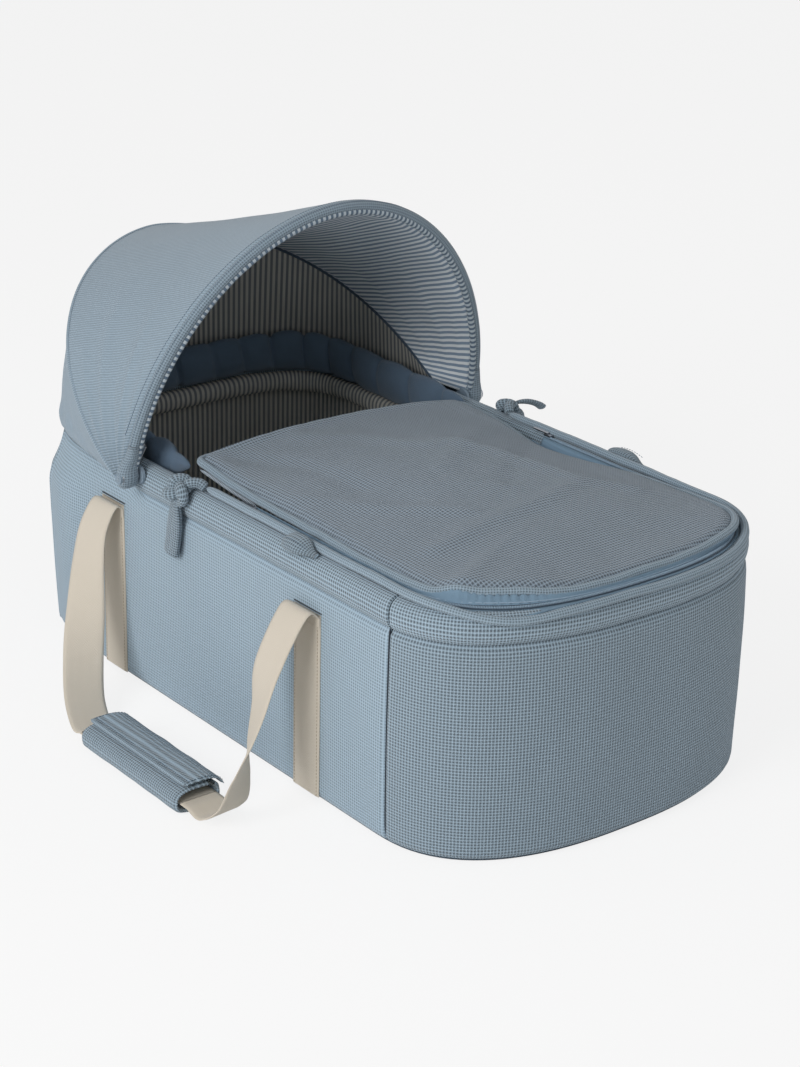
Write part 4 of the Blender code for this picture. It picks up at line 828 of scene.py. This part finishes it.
def build_apron():
    """A stuffed pad in the piping's ring: rows from the underside's middle to the edge and over it to the top's middle."""
    ring = apron_ring(-0.0020, 300)
    spine = join(0.0, np.clip(ring[:, 1], -0.235, 0.045))
    shares = cat([np.linspace(1, 0.9, 7), np.linspace(0.9, 0, 26)[1:]])
    first = len(shares) - 1
    k = cat([shares[:0:-1], shares])[:, None]
    top, edge = np.arange(len(k))[:, None] >= first, 1 - k
    xy = spine + (ring[:, :2] - spine) * k[..., None]
    x, y = xy[..., 0], xy[..., 1]
    over = 0.003 * smooth(edge / 0.03) + 0.0020 * smooth(edge / 0.06) * (1 - smooth(edge / 0.35))
    z = mix(ring[:, 2].mean(), ring[:, 2], k * k) + np.where(top, over + crown(x, y), 0.72 * crown(x, y) - 0.003)
    pts = join(x, y, z)
    inner = smooth(edge / 0.12)
    pts[..., 2] += (0.0026 * wobble(pts, 9, 41) + 0.0012 * wobble(pts, 26, 17)) * inner * np.where(top, 1.0, 0.5)
    # pulled tucks along the zip, then the folds
    rng = np.random.default_rng(11)
    s, tuck = way(ring), 0.0
    for at in np.arange(0.02, s[-1], 0.033):
        at = at + rng.uniform(-0.008, 0.008)
        deep = rng.uniform(0.3, 1.0)
        tuck = tuck + deep * bell((s - at + s[-1] / 2) % s[-1] - s[-1] / 2, 0.0055)
    pts[..., 2] -= 0.0014 * tuck * bell(edge, 0.055) * smooth(edge / 0.012) * top
    for height, width, points in FOLDS:
        pts[..., 2] += height * ridge(x, y, points, width) * inner
    # the cloth's own measure, from the middle outwards on both faces
    step = np.linalg.norm(np.diff(pts, axis=0), axis=-1)
    reach = np.zeros(pts.shape[:2])
    reach[first:-1] = np.cumsum(step[first:][::-1], 0)[::-1]
    reach[1:first] = np.cumsum(step[:first - 1], 0)
    cloth = spine + unit(ring[:, :2] - spine) * reach[..., None]
    made = grid("apron_cover", pts, cat([cloth, cloth[:, :1]], 1), M_COVER, close_v=True)
    piece(made, "apron_panel", body="apron", slot="cover_knit")


build_apron()
wave = 0.0008 * wobble(UP_RING, 34, 55)[:, None]
lift = 0.0010 * wobble(UP_RING, 34, 91) * (1 + 0.6 * smooth((-0.20 - UP_RING[:, 1]) / 0.1))
up_path = UP_RING + unit((UP_RING - UP_RING.mean(0)) * [1, 1, 0]) * wave + lift[:, None] * [0, 0, 1]
up_pipe = rope("upper_piping_cloth", up_path, PIPE_RADIUS * (1 + 0.05 * wobble(UP_RING, 90, 12)), M_PIPE, closed=True)
piece(up_pipe, "upper_piping", body="apron")
S = run(s_left(0.076), s_left(-0.022), 0.003)
inset, z = lanes(S)["piping"]
teeth = place(S, inset + taper(y_at(S)) - 0.0026, z - 0.0052)
piece(rope("left_open_teeth", teeth, 0.0017, M_TEETH, sides=10), body="apron", slot="zip_tape")


# ---- ties ----
def knot(name, at, radius, tube, normal, material):
    """A soft knot: one band wound over and under itself, flattened against what it lies on."""
    q = circle(110)
    n = unit(np.array(normal, float))
    a = unit(np.cross(n, [0, 0, 1.0]))
    b = np.cross(n, a)
    x = radius * (np.sin(q + 0.3) + 2 * np.sin(2 * q + 0.1)) / 3 * 1.12
    y = radius * (np.cos(q + 0.3) - 2 * np.cos(2 * q + 0.1)) / 3
    z = -0.42 * radius * np.sin(3 * q)
    p = np.array(at) + x[:, None] * a + y[:, None] * b + z[:, None] * n
    return rope(name, p, tube * (1 + 0.05 * np.sin(5 * q)), material, up=n, squash=0.82, sides=14, closed=True)


def pad_tail(name, points, widest, material, squash=0.42, up=(1, 0, 0), count=70):
    """A stuffed, flattened band end that widens towards its cut edge."""
    p = spline(points, count)
    t = np.linspace(0, 1, count)
    r = widest * (0.62 + 0.38 * smooth(t / 0.5)) * (1 - 0.35 * smooth((t - 0.965) / 0.035))
    return rope(name, p, r, material, up=up, squash=squash, sides=16, ends=False)

# the right tie's points; the left one's are mirrored
TIE_LOOP = ((0.2030, 0.0500, 0.2440), (0.1985, 0.0455, 0.2475), (0.1925, 0.0400, 0.2475), (0.1885, 0.0335, 0.2435))
TIE_DOWN = np.array(((0.2080, 0.0550, 0.2330), (0.2086, 0.0565, 0.2230), (0.2082, 0.0590, 0.2080),
                     (0.2078, 0.0620, 0.1930), (0.2082, 0.0645, 0.1790), (0.2088, 0.0660, 0.1700)))
TIE_SECOND = {
    "left": TIE_DOWN + np.outer((0, 0.4, 0.8, 1.0, 1.1, 1.2), (0, -0.0062, 0.004)) + [0.0022, 0, 0],
    "right": ((0.2090, 0.0545, 0.2420), (0.2150, 0.0535, 0.2450), (0.2230, 0.0515, 0.2455), (0.2310, 0.0490, 0.2440),
              (0.2390, 0.0460, 0.2405), (0.2440, 0.0440, 0.2365)),
}
for side, sgn in SIDES:
    mirror, n, stub_up = np.array([sgn, 1, 1]), (sgn * 0.80, -0.15, 0.58), (sgn * 0.45, 0, 0.9)
    at = (sgn * 0.2078, 0.0545, 0.2400 if side == "left" else 0.2370)
    piece(knot(f"{side}_tie_knot", at, 0.0112, 0.0060, n, M_TIE))
    piece(rope(f"{side}_tie_loop", spline(TIE_LOOP * mirror, 30), 0.0052, M_TIE, sides=12))
    piece(pad_tail(f"{side}_tie_tail", TIE_DOWN * mirror, 0.0112, M_TIE), f"{side}_knotted_tie")
    up = (1, 0, 0) if side == "left" else (0, 0.5, 1)
    piece(pad_tail(f"{side}_tie_tail_2", TIE_SECOND[side] * mirror, 0.0066, M_TIE, 0.40, up=up))
    x = sgn * (HALF - piping_spot(s_left(-0.155))[0] + 0.0108)
    t = np.linspace(0, 1, 60)
    path = join(x + sgn * 0.0012 * np.sin(PI * t), -0.1555 + 0.0470 * t, 0.2415 + 0.0035 * np.sin(PI * t ** 1.2))
    r = 0.0110 * np.sqrt(np.clip(1 - (2 * sat(t - 0.5)) ** 4, 0.01, 1)) * (0.28 + 0.72 * smooth(t / 0.5))
    stub = rope(f"{side}_stub_fold", path, r, M_TIE, up=stub_up, squash=0.52, sides=20, ends=False)
    piece(stub, f"{side}_tie_stub")
    piece(stitches(f"{side}_stub_stitches", path[8:52] + [sgn * 0.0052, 0, 0.0046], stub_up, M_THREAD))


# ---- hood ----
COLS = 180                                # points along each seam that runs over the crown
FRONT_TILT = 102.4                        # degrees, counted from the head end's side upwards
COVER_OUT = 0.0068                        # the canopy stands this far off the rear bow
CREASES = ((0.13, 0.030, 1.0, 36), (0.30, 0.040, 1.8, 56), (0.47, 0.030, -1.2, 34), (0.62, 0.045, 2.0, 60),
           (0.82, 0.035, 1.4, 42))        # place, width, height and fading degrees
# the corner's rows: height over the pivot, half length, half width
CORNER_ROWS = np.array(((-0.0118, 0.0006, 0.0018), (-0.0112, 0.0024, 0.0048), (-0.0100, 0.0042, 0.0074),
                        (-0.0082, 0.0060, 0.0094), (-0.0056, 0.0074, 0.0106), (-0.0026, 0.0083, 0.0111),
                        (0.0000, 0.0087, 0.0113), (0.0030, 0.0086, 0.0112), (0.0065, 0.0083, 0.0108),
                        (0.0110, 0.0078, 0.0098), (0.0160, 0.0072, 0.0084), (0.0220, 0.0066, 0.0070),
                        (0.0280, 0.0060, 0.0060), (0.0340, 0.0053, 0.0053)))


def bow_point(hw, reach, angle, curve, deg):
    """Points of a bow, at degrees from the left pivot over the crown to the right one."""
    t, tilt = np.radians(deg), math.radians(angle)
    out = reach * sat(np.sin(t)) ** curve[1]
    return join(-hw * signed(np.cos(t), curve[0]), PIVOT_Y + out * math.cos(tilt), PIVOT_Z + out * math.sin(tilt))


def front(deg):
    return bow_point(0.2156, 0.255, FRONT_TILT, (1.03, 1.03), deg)


def rear(deg):
    return bow_point(0.2232, 0.318, 28.6, (1.15, 0.98), deg)


def arch(deg, outset=0.0):
    """The lining's rear seam, rounder than the bow behind it."""
    t = np.radians(deg)
    s = sat(np.sin(t)) ** 0.8517
    return join(-0.181 * signed(np.cos(t), 0.9937), 0.1471 + (0.2184 + outset) * s, 0.2461 + (0.1421 + outset * 0.57) * s)


def upright(deg):
    """0 at the pivots, 1 over the crown."""
    return sat(np.sin(np.radians(deg)))


def dense(curve, start, count):
    """Degrees evenly spaced by way along a curve."""
    d = np.linspace(start, 180 - start, 2400)
    s = way(curve(d))
    return np.interp(np.linspace(0, s[-1], count), s, d)


DEG_F, DEG_R, DEG_A = dense(front, 0.9, COLS), dense(rear, 0.9, COLS), dense(arch, 0.5, COLS)
FORWARD = np.array([0, -math.sin(math.radians(FRONT_TILT)), math.cos(math.radians(FRONT_TILT))])


def radial(p):
    """Away from the middle between the pivots."""
    return unit(p - np.array([0, PIVOT_Y, PIVOT_Z]))


def outward(p):
    """Level and away from the head end's middle."""
    return unit((p - [0, HEAD0, 0]) * [1, 1, 0])


def pinned(V, first, last):
    """0 at a sheet's two sewn edges, 1 between them."""
    return smooth(V / first) * smooth((1 - V) / last)


def hood_weight(obj):
    """Bakes the piece's placement into its mesh."""
    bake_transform(obj)


def hood_sheet(name, pts, uv, material, thick, node, flip=False):
    made = grid(name, pts, uv, material, thick=thick, flip=flip)
    hood_weight(made)
    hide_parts(node)
    long_way = float(way(pts[:, 0]).max())
    wide = float(max(way(row)[-1] for row in pts[::6]))
    round(max(long_way, float(way(pts[:, -1])[-1])), 3)


def creases(near, share):
    """Folds that run out from each pivot and die away towards the hood's top."""
    out = np.zeros(np.broadcast(near, share).shape)
    for c, w, a, fade in CREASES:
        drift = c + 0.0012 * (near - 20)
        amp = smooth(near / 8) * (1 - smooth((near - 8) / fade))
        out += a * amp * bell(share - drift, w)
    return out


def build_hood_top():
    """The hood's top from the front bow to the rear one, and the striped lining under it."""
    share, hem_row = np.linspace(0, 1, 60) ** 1.15, 0.0068
    K, V = cross(np.arange(COLS), share)
    F, R, A = DEG_F[K], DEG_R[K], DEG_A[K]
    near = np.minimum(F, 180 - F)
    side = upright(F)
    f, r = front(F), rear(R)
    start = f + radial(f) * 0.0048 - FORWARD * 0.0036
    end = r + radial(r) * COVER_OUT
    line = mix(start, end, V[..., None])
    wid = float(np.linalg.norm(end - start, axis=-1).max())
    across = V * np.linalg.norm(end - start, axis=-1)
    sag = -0.0040 * np.sin(PI * V) * side
    fold = 0.0017 * creases(near, V)
    n = 0.0012 * wobble(line, 8, 5) + 0.0006 * wobble(line, 24, 7)
    edge = smooth(across / 0.012) * smooth((1 - V) / 0.05)
    seam = -0.0026 * bell(across, 0.0020) * smooth(near / 4)
    pts = line + radial(line) * (sag + (fold + n) * edge + seam)[..., None]
    s = way(front(DEG_F))
    uv = join(s[:, None], V * wid)
    hood_sheet("canopy_top_cloth", pts, uv, M_HOOD, 0.0013, "canopy_top")
    at = np.array([np.interp(hem_row, across[m], share) for m in range(COLS)])
    row = np.array([follow(at[m], share, pts[m]) for m in range(COLS)])
    made = stitches("hood_hem_stitches_2", row[10:-10], radial(row[10:-10]), M_THREAD, pitch=0.0030, lift=0.0002)
    corners = np.empty(len(made.data.vertices) * 3)
    made.data.vertices.foreach_get("co", corners)
    nearest = ((corners.reshape(-1, 1, 3) - row[None]) ** 2).sum(-1).argmin(1)
    hood_weight(made)

    # the lining under it, a little looser, to its own rear seam
    start = f - radial(f) * 0.0046 + FORWARD * 0.0015
    end = arch(A)
    line = mix(start, end, V[..., None])
    up = upright(A)
    slack = 0.0060 * np.sin(PI * V) * side + 0.0016 * side * creases(near, 1 - V)
    soft = line * [1.0, 0.45, 1.0]
    n = 0.0042 * wobble(soft, 13, 25) + 0.0022 * wobble(soft, 30, 31) * smooth(up / 0.5)
    keep = pinned(V, 0.05, 0.06) * smooth(near / 6)
    pts = line - radial(line) * (slack + (n + 0.0030) * keep)[..., None]
    hood_sheet("lining_top_cloth", pts, uv, M_STRIPE, 0.0010, "lining_top", True)


def build_hood_back():
    """The hood's back and its lining, down to the rim, with the rear bow's sleeve and the seams."""
    K, V = cross(np.arange(COLS), np.linspace(0, 1, 40))
    k = K / (COLS - 1)
    s_edge = mix(*round_head(0.1335)[::-1], k)
    y = y_at(s_edge)
    inset = -mix(0.0052, -0.0032, smooth((y - 0.170) / 0.12))
    low = place(s_edge, inset, mix(0.2178, 0.2225, smooth((y - 0.165) / 0.06)))
    bow = rear(DEG_R[K])
    start = bow + radial(bow) * COVER_OUT
    line = mix(start, low, V[..., None])
    near = np.minimum(DEG_R[K], 180 - DEG_R[K])
    high = upright(DEG_R[K])
    folds = 0.0030 * smooth(near / 12) * (np.sin(k * 66 + 2.4 * V) * V) ** 2 * bell(near - 34, 26)
    n = 0.0020 * wobble(line, 10, 61) + 0.0009 * wobble(line, 28, 66)
    keep = pinned(V, 0.07, 0.06)
    swell = 0.0055 * np.sin(PI * V) * high + 0.0045 * bell(V - 0.84, 0.10) * high
    pts = line + outward(low) * (swell + (n + folds) * keep)[..., None]
    wid = float(np.linalg.norm(low - start, axis=-1).max())
    uv = join(way(rear(DEG_R))[:, None], V * wid)
    hood_sheet("canopy_back_cloth", pts, uv, M_HOOD, 0.0012, "canopy_back")
    bow = rear(DEG_R)
    piece(rope("hood_rear_sleeve", bow, 0.0035, M_HOOD, sides=14), body="hood_rear", slot="hood_knit")
    made = rope("hood_rear_seam", bow + radial(bow) * 0.0062, 0.0020, M_HOOD, sides=12)
    hood_weight(made)
    seam_row = place(s_edge[:, 0], inset[:, 0] - 0.0004, low[:, 0, 2] + 0.0042)
    out = unit(seam_row - place(s_edge[:, 0], inset[:, 0] + 0.01, low[:, 0, 2] + 0.0042))
    row = stitches("hood_edge_stitches", seam_row[6:-6], out[6:-6], M_THREAD, lift=0.0004)
    piece(row, slot="hood_knit")

    # the lining
    s_edge = mix(*round_head(0.151)[::-1], k)
    low = place(s_edge, 0.0085, 0.2407)
    start = arch(DEG_A[K])
    line = mix(start, low, V[..., None])
    n = np.abs(0.0022 * wobble(line * [1, 1, 0.5], 16, 44))
    keep = pinned(V, 0.07, 0.05) * smooth(np.minimum(k, 1 - k) / 0.05)
    pts = line - outward(low) * (n * keep)[..., None]
    uv = join(s_edge - TOTAL, V * 0.16)
    hood_sheet("lining_back_cloth", pts, uv, M_WALL_STRIPE, 0.0010, "lining_back", True)
    made = rope("lining_seam_piping", arch(DEG_A, -0.0022), 0.0017, M_SEAM, sides=10)
    hood_weight(made)


build_hood_top()
build_hood_back()


def build_hem():
    """The padded hem round the front bow, its striped inner edge and a row of stitches."""
    path = front(dense(front, 1.2, 210))
    out = radial(path)
    hem = rope("hood_hem_cloth", path, 0.0053 + 0.0004 * wobble(path, 40, 71), M_HEM, up=FORWARD, squash=0.98, sides=26)
    piece(hem, "hood_front_hem", body="hood_front", slot="hood_knit")
    edge = path + FORWARD * 0.0022 - out * 0.0050
    inner = rope("hood_inner_edge", edge, 0.0034 + 0.0002 * wobble(path, 60, 75), M_EDGE, up=FORWARD, sides=12)
    piece(inner, body="hood_front", slot="striped_lining")
    row = stitches("hood_hem_stitches_1", path + FORWARD * 0.0012 + out * 0.0052, out, M_THREAD, pitch=0.0030)
    piece(row, body="hood_front", slot="hood_knit")


def corner_cap(side, sgn):
    """The cloth corner of the hood that wraps its pivot."""
    u, rows = circle(40), CORNER_ROWS
    z_rows = PIVOT_Z + rows[:, 0]
    bow = front(np.linspace(0.9, 30, 200))
    at_bow = follow(z_rows, bow[:, 2], np.abs(bow[:, :2]))
    middle = np.array([0.2172, PIVOT_Y])
    centre = middle + (at_bow - middle) * sat((rows[:, :1] - 0.006) / 0.016)
    x = sgn * (centre[:, :1] + rows[:, 2:] * signed(np.cos(u), 0.85))
    y = centre[:, 1:] + rows[:, 1:2] * np.sin(u)
    pts = join(x, y, z_rows[:, None])
    pts = pts + 0.0004 * wobble(pts, 60, 5)[..., None] * [1.0, 1.0, 0.0]
    uv = join(z_rows[:, None], np.linspace(0, 0.060, 41))
    made = grid(f"{side}_hood_corner_cloth", pts, uv, M_HEM, close_v=True, cap_v=True, flip=sgn < 0)
    piece(made, body="hood_front", slot="hood_knit")


build_hem()
for side, sgn in SIDES:
    corner_cap(side, sgn)

# ---- handles ----
STRAP_X = HALF + 0.0013
LOOP_X = STRAP_X + 0.0023
GRIP_X, BARE_X, GRIP_LOW, GRIP_HIGH = 0.300, 0.285, -0.1155, 0.0500
WRAP_Z, LYING_Z = 0.0131, 0.0016
# reach from the slot out to the middle stretch, way along, height and turn in degrees
FOOT_ROWS = ((0.00, 0.0, 0.94, 0), (0.00, 0.0, 0.985, 0), (0.15, 0.0, 1.005, 0), (0.44, 0.0, 0.76, -3),
             (0.58, -0.15, 0.56, -21), (0.72, -0.30, 0.40, -36), (0.83, -0.42, 0.26, -60),
             (0.93, -0.40, 0.13, -78), (1.00, 0.10, 0.055, -87), (1.00, 1.0, 0.060, -90))
HEAD_ROWS = ((0.00, 0.0, 0.93, 0), (0.00, 0.0, 0.975, 0), (0.10, 0.0, 0.985, 3), (0.24, 0.0, 0.86, 8),
             (0.34, 0.04, 0.69, 18), (0.45, 0.12, 0.46, 38), (0.62, 0.28, 0.26, 64),
             (0.84, 0.55, 0.12, 84), (1.00, 0.84, 0.065, 89), (1.00, 1.0, 0.070, 90))


def route(points, count):
    """A curve through points, the same count of steps between each two."""
    p = np.asarray(points, float)
    ext = cat([[2 * p[0] - p[1]], p, [2 * p[-1] - p[-2]]])
    at = np.linspace(0, len(p) - 1, count)
    k = np.minimum(at.astype(int), len(p) - 2)
    t = (at - k)[:, None]
    p0, p1, p2, p3 = ext[k], ext[k + 1], ext[k + 2], ext[k + 3]
    return 0.5 * (2 * p1 + (p2 - p0) * t + (2 * p0 - 5 * p1 + 4 * p2 - p3) * t ** 2
                  + (3 * p1 - p0 - 3 * p2 + p3) * t ** 3)


def web(name, path, width):
    return ribbon(name, path, width, 0.0200, 0.0020, M_WEB, across=13)


def strap(end, side, sgn, slot_y, end_y, middle_x, end_z, rows):
    """A free webbing loop from its slot to the handle's middle stretch; rows give reach, way along, height and turn."""
    reach, alongy, height, turns = np.array(rows).T
    places = join(sgn * mix(LOOP_X, middle_x, reach), mix(slot_y, end_y, alongy), SLOT_Z * height)
    toward = math.copysign(0.010, end_y - slot_y)
    places[-1] = (sgn * middle_x, end_y - toward, end_z)
    p, q = route(places, 150), np.radians(route(turns[:, None], 150)[:, 0])
    p = cat([p, [[sgn * middle_x, end_y - toward * k, end_z] for k in (0.66, 0.33, 0.0)]])
    q = cat([q, np.full(3, math.radians(turns[-1]))])
    p[:, 0] = sgn * np.maximum(sgn * p[:, 0], LOOP_X)
    p[:, 2] = np.maximum(p[:, 2], LYING_Z)
    made = web(f"{side}_{end}_strap_web", p, join(sgn * np.sin(q), np.cos(q), 0.0))
    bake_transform(made)
    np.repeat(smooth(way(p) / 0.035), len(made.data.vertices) // len(p))
    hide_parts(f"{side}_{end}_strap")


for side, sgn in SIDES:
    mx, ez = (GRIP_X, WRAP_Z) if side == "left" else (BARE_X, LYING_Z)
    strap("foot", side, sgn, FOOT_STRAP_Y, GRIP_LOW - 0.0003, mx, ez, FOOT_ROWS)
    strap("head", side, sgn, HEAD_STRAP_Y, GRIP_HIGH + 0.0003, mx, ez, HEAD_ROWS)
    for end, y in (("foot", FOOT_STRAP_Y), ("head", HEAD_STRAP_Y)):
        p = join(sgn * (STRAP_X + 0.0012), y, np.linspace(0.006, SLOT_Z - 0.0005, 60))
        piece(web(f"{side}_{end}_webbing_sewn", p, (0.0, 1.0, 0.0)), f"{side}_{end}_webbing", slot="webbing")
        lip = join(sgn * (HALF + 0.0014), y + np.linspace(-0.0212, 0.0212, 30), SLOT_Z + 0.0012)
        # a very dark lip along the strap's slot: painted shade under its edge
        piece(ribbon(f"{side}_{end}_slot_shade_edge", lip, (0.0, 0.0, 1.0), 0.0012, 0.0014, M_SLIT, across=5))
        for m, dy in enumerate((-0.0172, 0.0172)):
            row = stitches(f"{side}_{end}_webbing_stitch_{m + 1}", p + [sgn * 0.0011, dy, 0], (sgn, 0, 0), M_CREAM_THREAD)
            piece(row, slot="webbing")

for name, node, body, x, z in (("right_handle_web", "right_handle_webbing", "right_handle", BARE_X, LYING_Z),
                               ("grip_core_web", "grip_core_webbing", "left_handle", -GRIP_X, WRAP_Z)):
    piece(web(name, join(x, np.linspace(GRIP_LOW, GRIP_HIGH, 70), z), (1.0, 0, 0)), node, body=body, slot="webbing")


def wrap_point(share, offset, y):
    """A point on the grip's oval, a share of the way round it from the top."""
    turn = PI / 2 + 2 * PI * share
    x = -GRIP_X + (0.025 + offset) * signed(np.cos(turn), 2 / 2.7)
    z = WRAP_Z + (0.013 + offset) * signed(np.sin(turn), 2 / 2.7)
    return join(x, y, np.maximum(z, 0.0006))


def shell(name, a, b, offset, thick, seed, steps=60):
    """A padded strip bent round the grip, with rounded edges all round."""
    girth = 0.122
    share, Y = cross(np.linspace(a, b, steps), np.linspace(GRIP_LOW, GRIP_HIGH, 46))
    d_edge = np.minimum(to_end(share, (a, b)) * girth, to_end(Y, (GRIP_LOW, GRIP_HIGH)))
    edge = np.sqrt(sat(1 - sat(1 - d_edge / (thick / 2)) ** 2))
    n = 0.0006 * wobble(wrap_point(share, offset + thick / 2, Y), 45, seed)
    half = thick / 2 * (0.15 + 0.85 * edge)
    outer = wrap_point(share, offset + thick / 2 + half + n * edge, Y)
    inner = wrap_point(share, offset + thick / 2 - half, Y)
    uv = join(cat([share, share], 1) * girth, cat([Y, Y[:, ::-1]], 1))
    return grid(name, cat([outer, inner[:, ::-1]], 1), cat([uv, uv[:, :1]], 1), M_FOOT_SHADED, close_v=True, cap_v=True)


piece(shell("grip_wrap_cloth", -0.07, 0.87, -0.0042, 0.0042, 3.0, 110), "grip_wrap", body="left_handle")
piece(shell("grip_flap_cloth", -0.205, 0.055, 0.0027, 0.0025, 9.0), "grip_flap", body="grip_cover")
y = np.linspace(GRIP_LOW + 0.001, GRIP_HIGH - 0.001, 90)
edge = wrap_point(0.055, 0.0044, y)
piece(rope("grip_flap_piping", edge, 0.0021 + 0.0002 * wobble(edge, 60, 2), M_PIPE, sides=10), body="grip_cover")
for end, y0 in (("foot", GRIP_LOW + 0.0032), ("head", GRIP_HIGH - 0.0032)):
    line = wrap_point(np.linspace(-0.20, 0.05, 40), 0.0052, y0)
    piece(stitches(f"grip_flap_{end}_stitches", line, (0.2, 0, 1), M_THREAD), body="grip_cover")
line = wrap_point(0.030, 0.0053, y)
piece(stitches("grip_flap_edge_stitches", line, (0, 0, 1), M_THREAD), body="grip_cover")

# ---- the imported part's own solids that stay in sight ----
dress(M_STEEL, "hood_front_bow", "hood_rear_bow")
dress(M_PLASTIC, "left_hood_pivot", "right_hood_pivot")
dress(M_TOUCH, "grip_loop_patch", "grip_hook_patch")
dress(M_METAL, "left_zip_slider", "right_zip_slider", "left_zip_pull", "right_zip_pull")
dress(M_BOARD, "base_board", *(key + "_board" for key in WALLS))

# ---- stage ----
FLOOR_PALE, SEEN_SHARE, FLOOR_HALF = 0.92, 0.82, 7.0
floor_shader = Shader("floor_pale", (FLOOR_PALE, FLOOR_PALE, FLOOR_PALE), 0.9)
corners = [(FLOOR_HALF * x, FLOOR_HALF * y, 0) for x, y in ((-1, -1), (1, -1), (1, 1), (-1, 1))]
add_mesh("floor_sheet", corners, [(0, 1, 2, 3)], floor_shader.m)
cloud = floor_shader.noise(3.0, 2.0)
floor_shader.put(floor_shader.b.inputs["Base Color"], floor_shader.blend(cloud, (0.915,) * 3, (0.925,) * 3))


def seen_rays(tree):
    """1 for rays that look at the stage directly, in a gloss or through glass."""
    ray = tree.nodes.new("ShaderNodeLightPath")
    value = ray.outputs["Is Camera Ray"]
    for other in ("Is Glossy Ray", "Is Transmission Ray"):
        top = tree.nodes.new("ShaderNodeMath")
        top.operation = "MAXIMUM"
        tree.links.new(value, top.inputs[0])
        tree.links.new(ray.outputs[other], top.inputs[1])
        value = top.outputs[0]
    return value


glow = floor_shader.node("ShaderNodeEmission")
glow.inputs["Color"].default_value = (1, 1, 1, 1)
both = floor_shader.node("ShaderNodeMixShader")
for socket, value in zip(both.inputs, (floor_shader.mul(seen_rays(floor_shader.t), SEEN_SHARE),
                                       floor_shader.b.outputs[0], glow.outputs[0])):
    floor_shader.put(socket, value)
floor_shader.put(floor_shader.t.nodes["Material Output"].inputs["Surface"], both.outputs[0])

world = bpy.data.worlds.new("studio")
SCENE.world = world
world.use_nodes = True
nt = world.node_tree
back = nt.nodes["Background"]
back.inputs["Color"].default_value = (1, 1, 1, 1)
back.inputs["Strength"].default_value = 0.37
seen = nt.nodes.new("ShaderNodeBackground")
seen.inputs["Color"].default_value = (FLOOR_PALE, FLOOR_PALE, FLOOR_PALE, 1)
seen.inputs["Strength"].default_value = 1.0
choose = nt.nodes.new("ShaderNodeMixShader")
nt.links.new(seen_rays(nt), choose.inputs[0])
nt.links.new(back.outputs[0], choose.inputs[1])
nt.links.new(seen.outputs[0], choose.inputs[2])
nt.links.new(choose.outputs[0], nt.nodes["World Output"].inputs["Surface"])


def lamp(name, at, size, power, toward=(0, 0, 0.2)):
    data = bpy.data.lights.new(name, "AREA")
    data.shape = "DISK"
    data.size = size
    data.energy = power
    made = bpy.data.objects.new(name, data)
    made.location = at
    made.rotation_euler = (Vector(toward) - Vector(at)).to_track_quat("-Z", "Y").to_euler()
    SCENE.collection.objects.link(made)


lamp("key", (-3.62, -0.80, 2.05), 2.2, 94)
lamp("fill", (2.4, -1.9, 1.1), 1.8, 8)

# ---- camera ----
yaw, pitch, roll_a = math.radians(38.59), math.radians(22.12), math.radians(1.34)
fw = Vector((math.sin(yaw) * math.cos(pitch), math.cos(yaw) * math.cos(pitch), -math.sin(pitch)))
right = Vector((math.cos(yaw), -math.sin(yaw), 0))
up = right.cross(fw)
r2 = math.cos(roll_a) * right + math.sin(roll_a) * up
u2 = -math.sin(roll_a) * right + math.cos(roll_a) * up
cam_data = bpy.data.cameras.new("camera")
cam_data.lens = 81.02
cam_data.sensor_width = 36
cam = bpy.data.objects.new("camera", cam_data)
matrix = Matrix((r2, u2, -fw)).transposed().to_4x4()
matrix.translation = Vector((-1.3678, -1.7388, 1.0644))
cam.matrix_world = matrix
SCENE.collection.objects.link(cam)
SCENE.camera = cam
SCENE.view_settings.view_transform = "Standard"
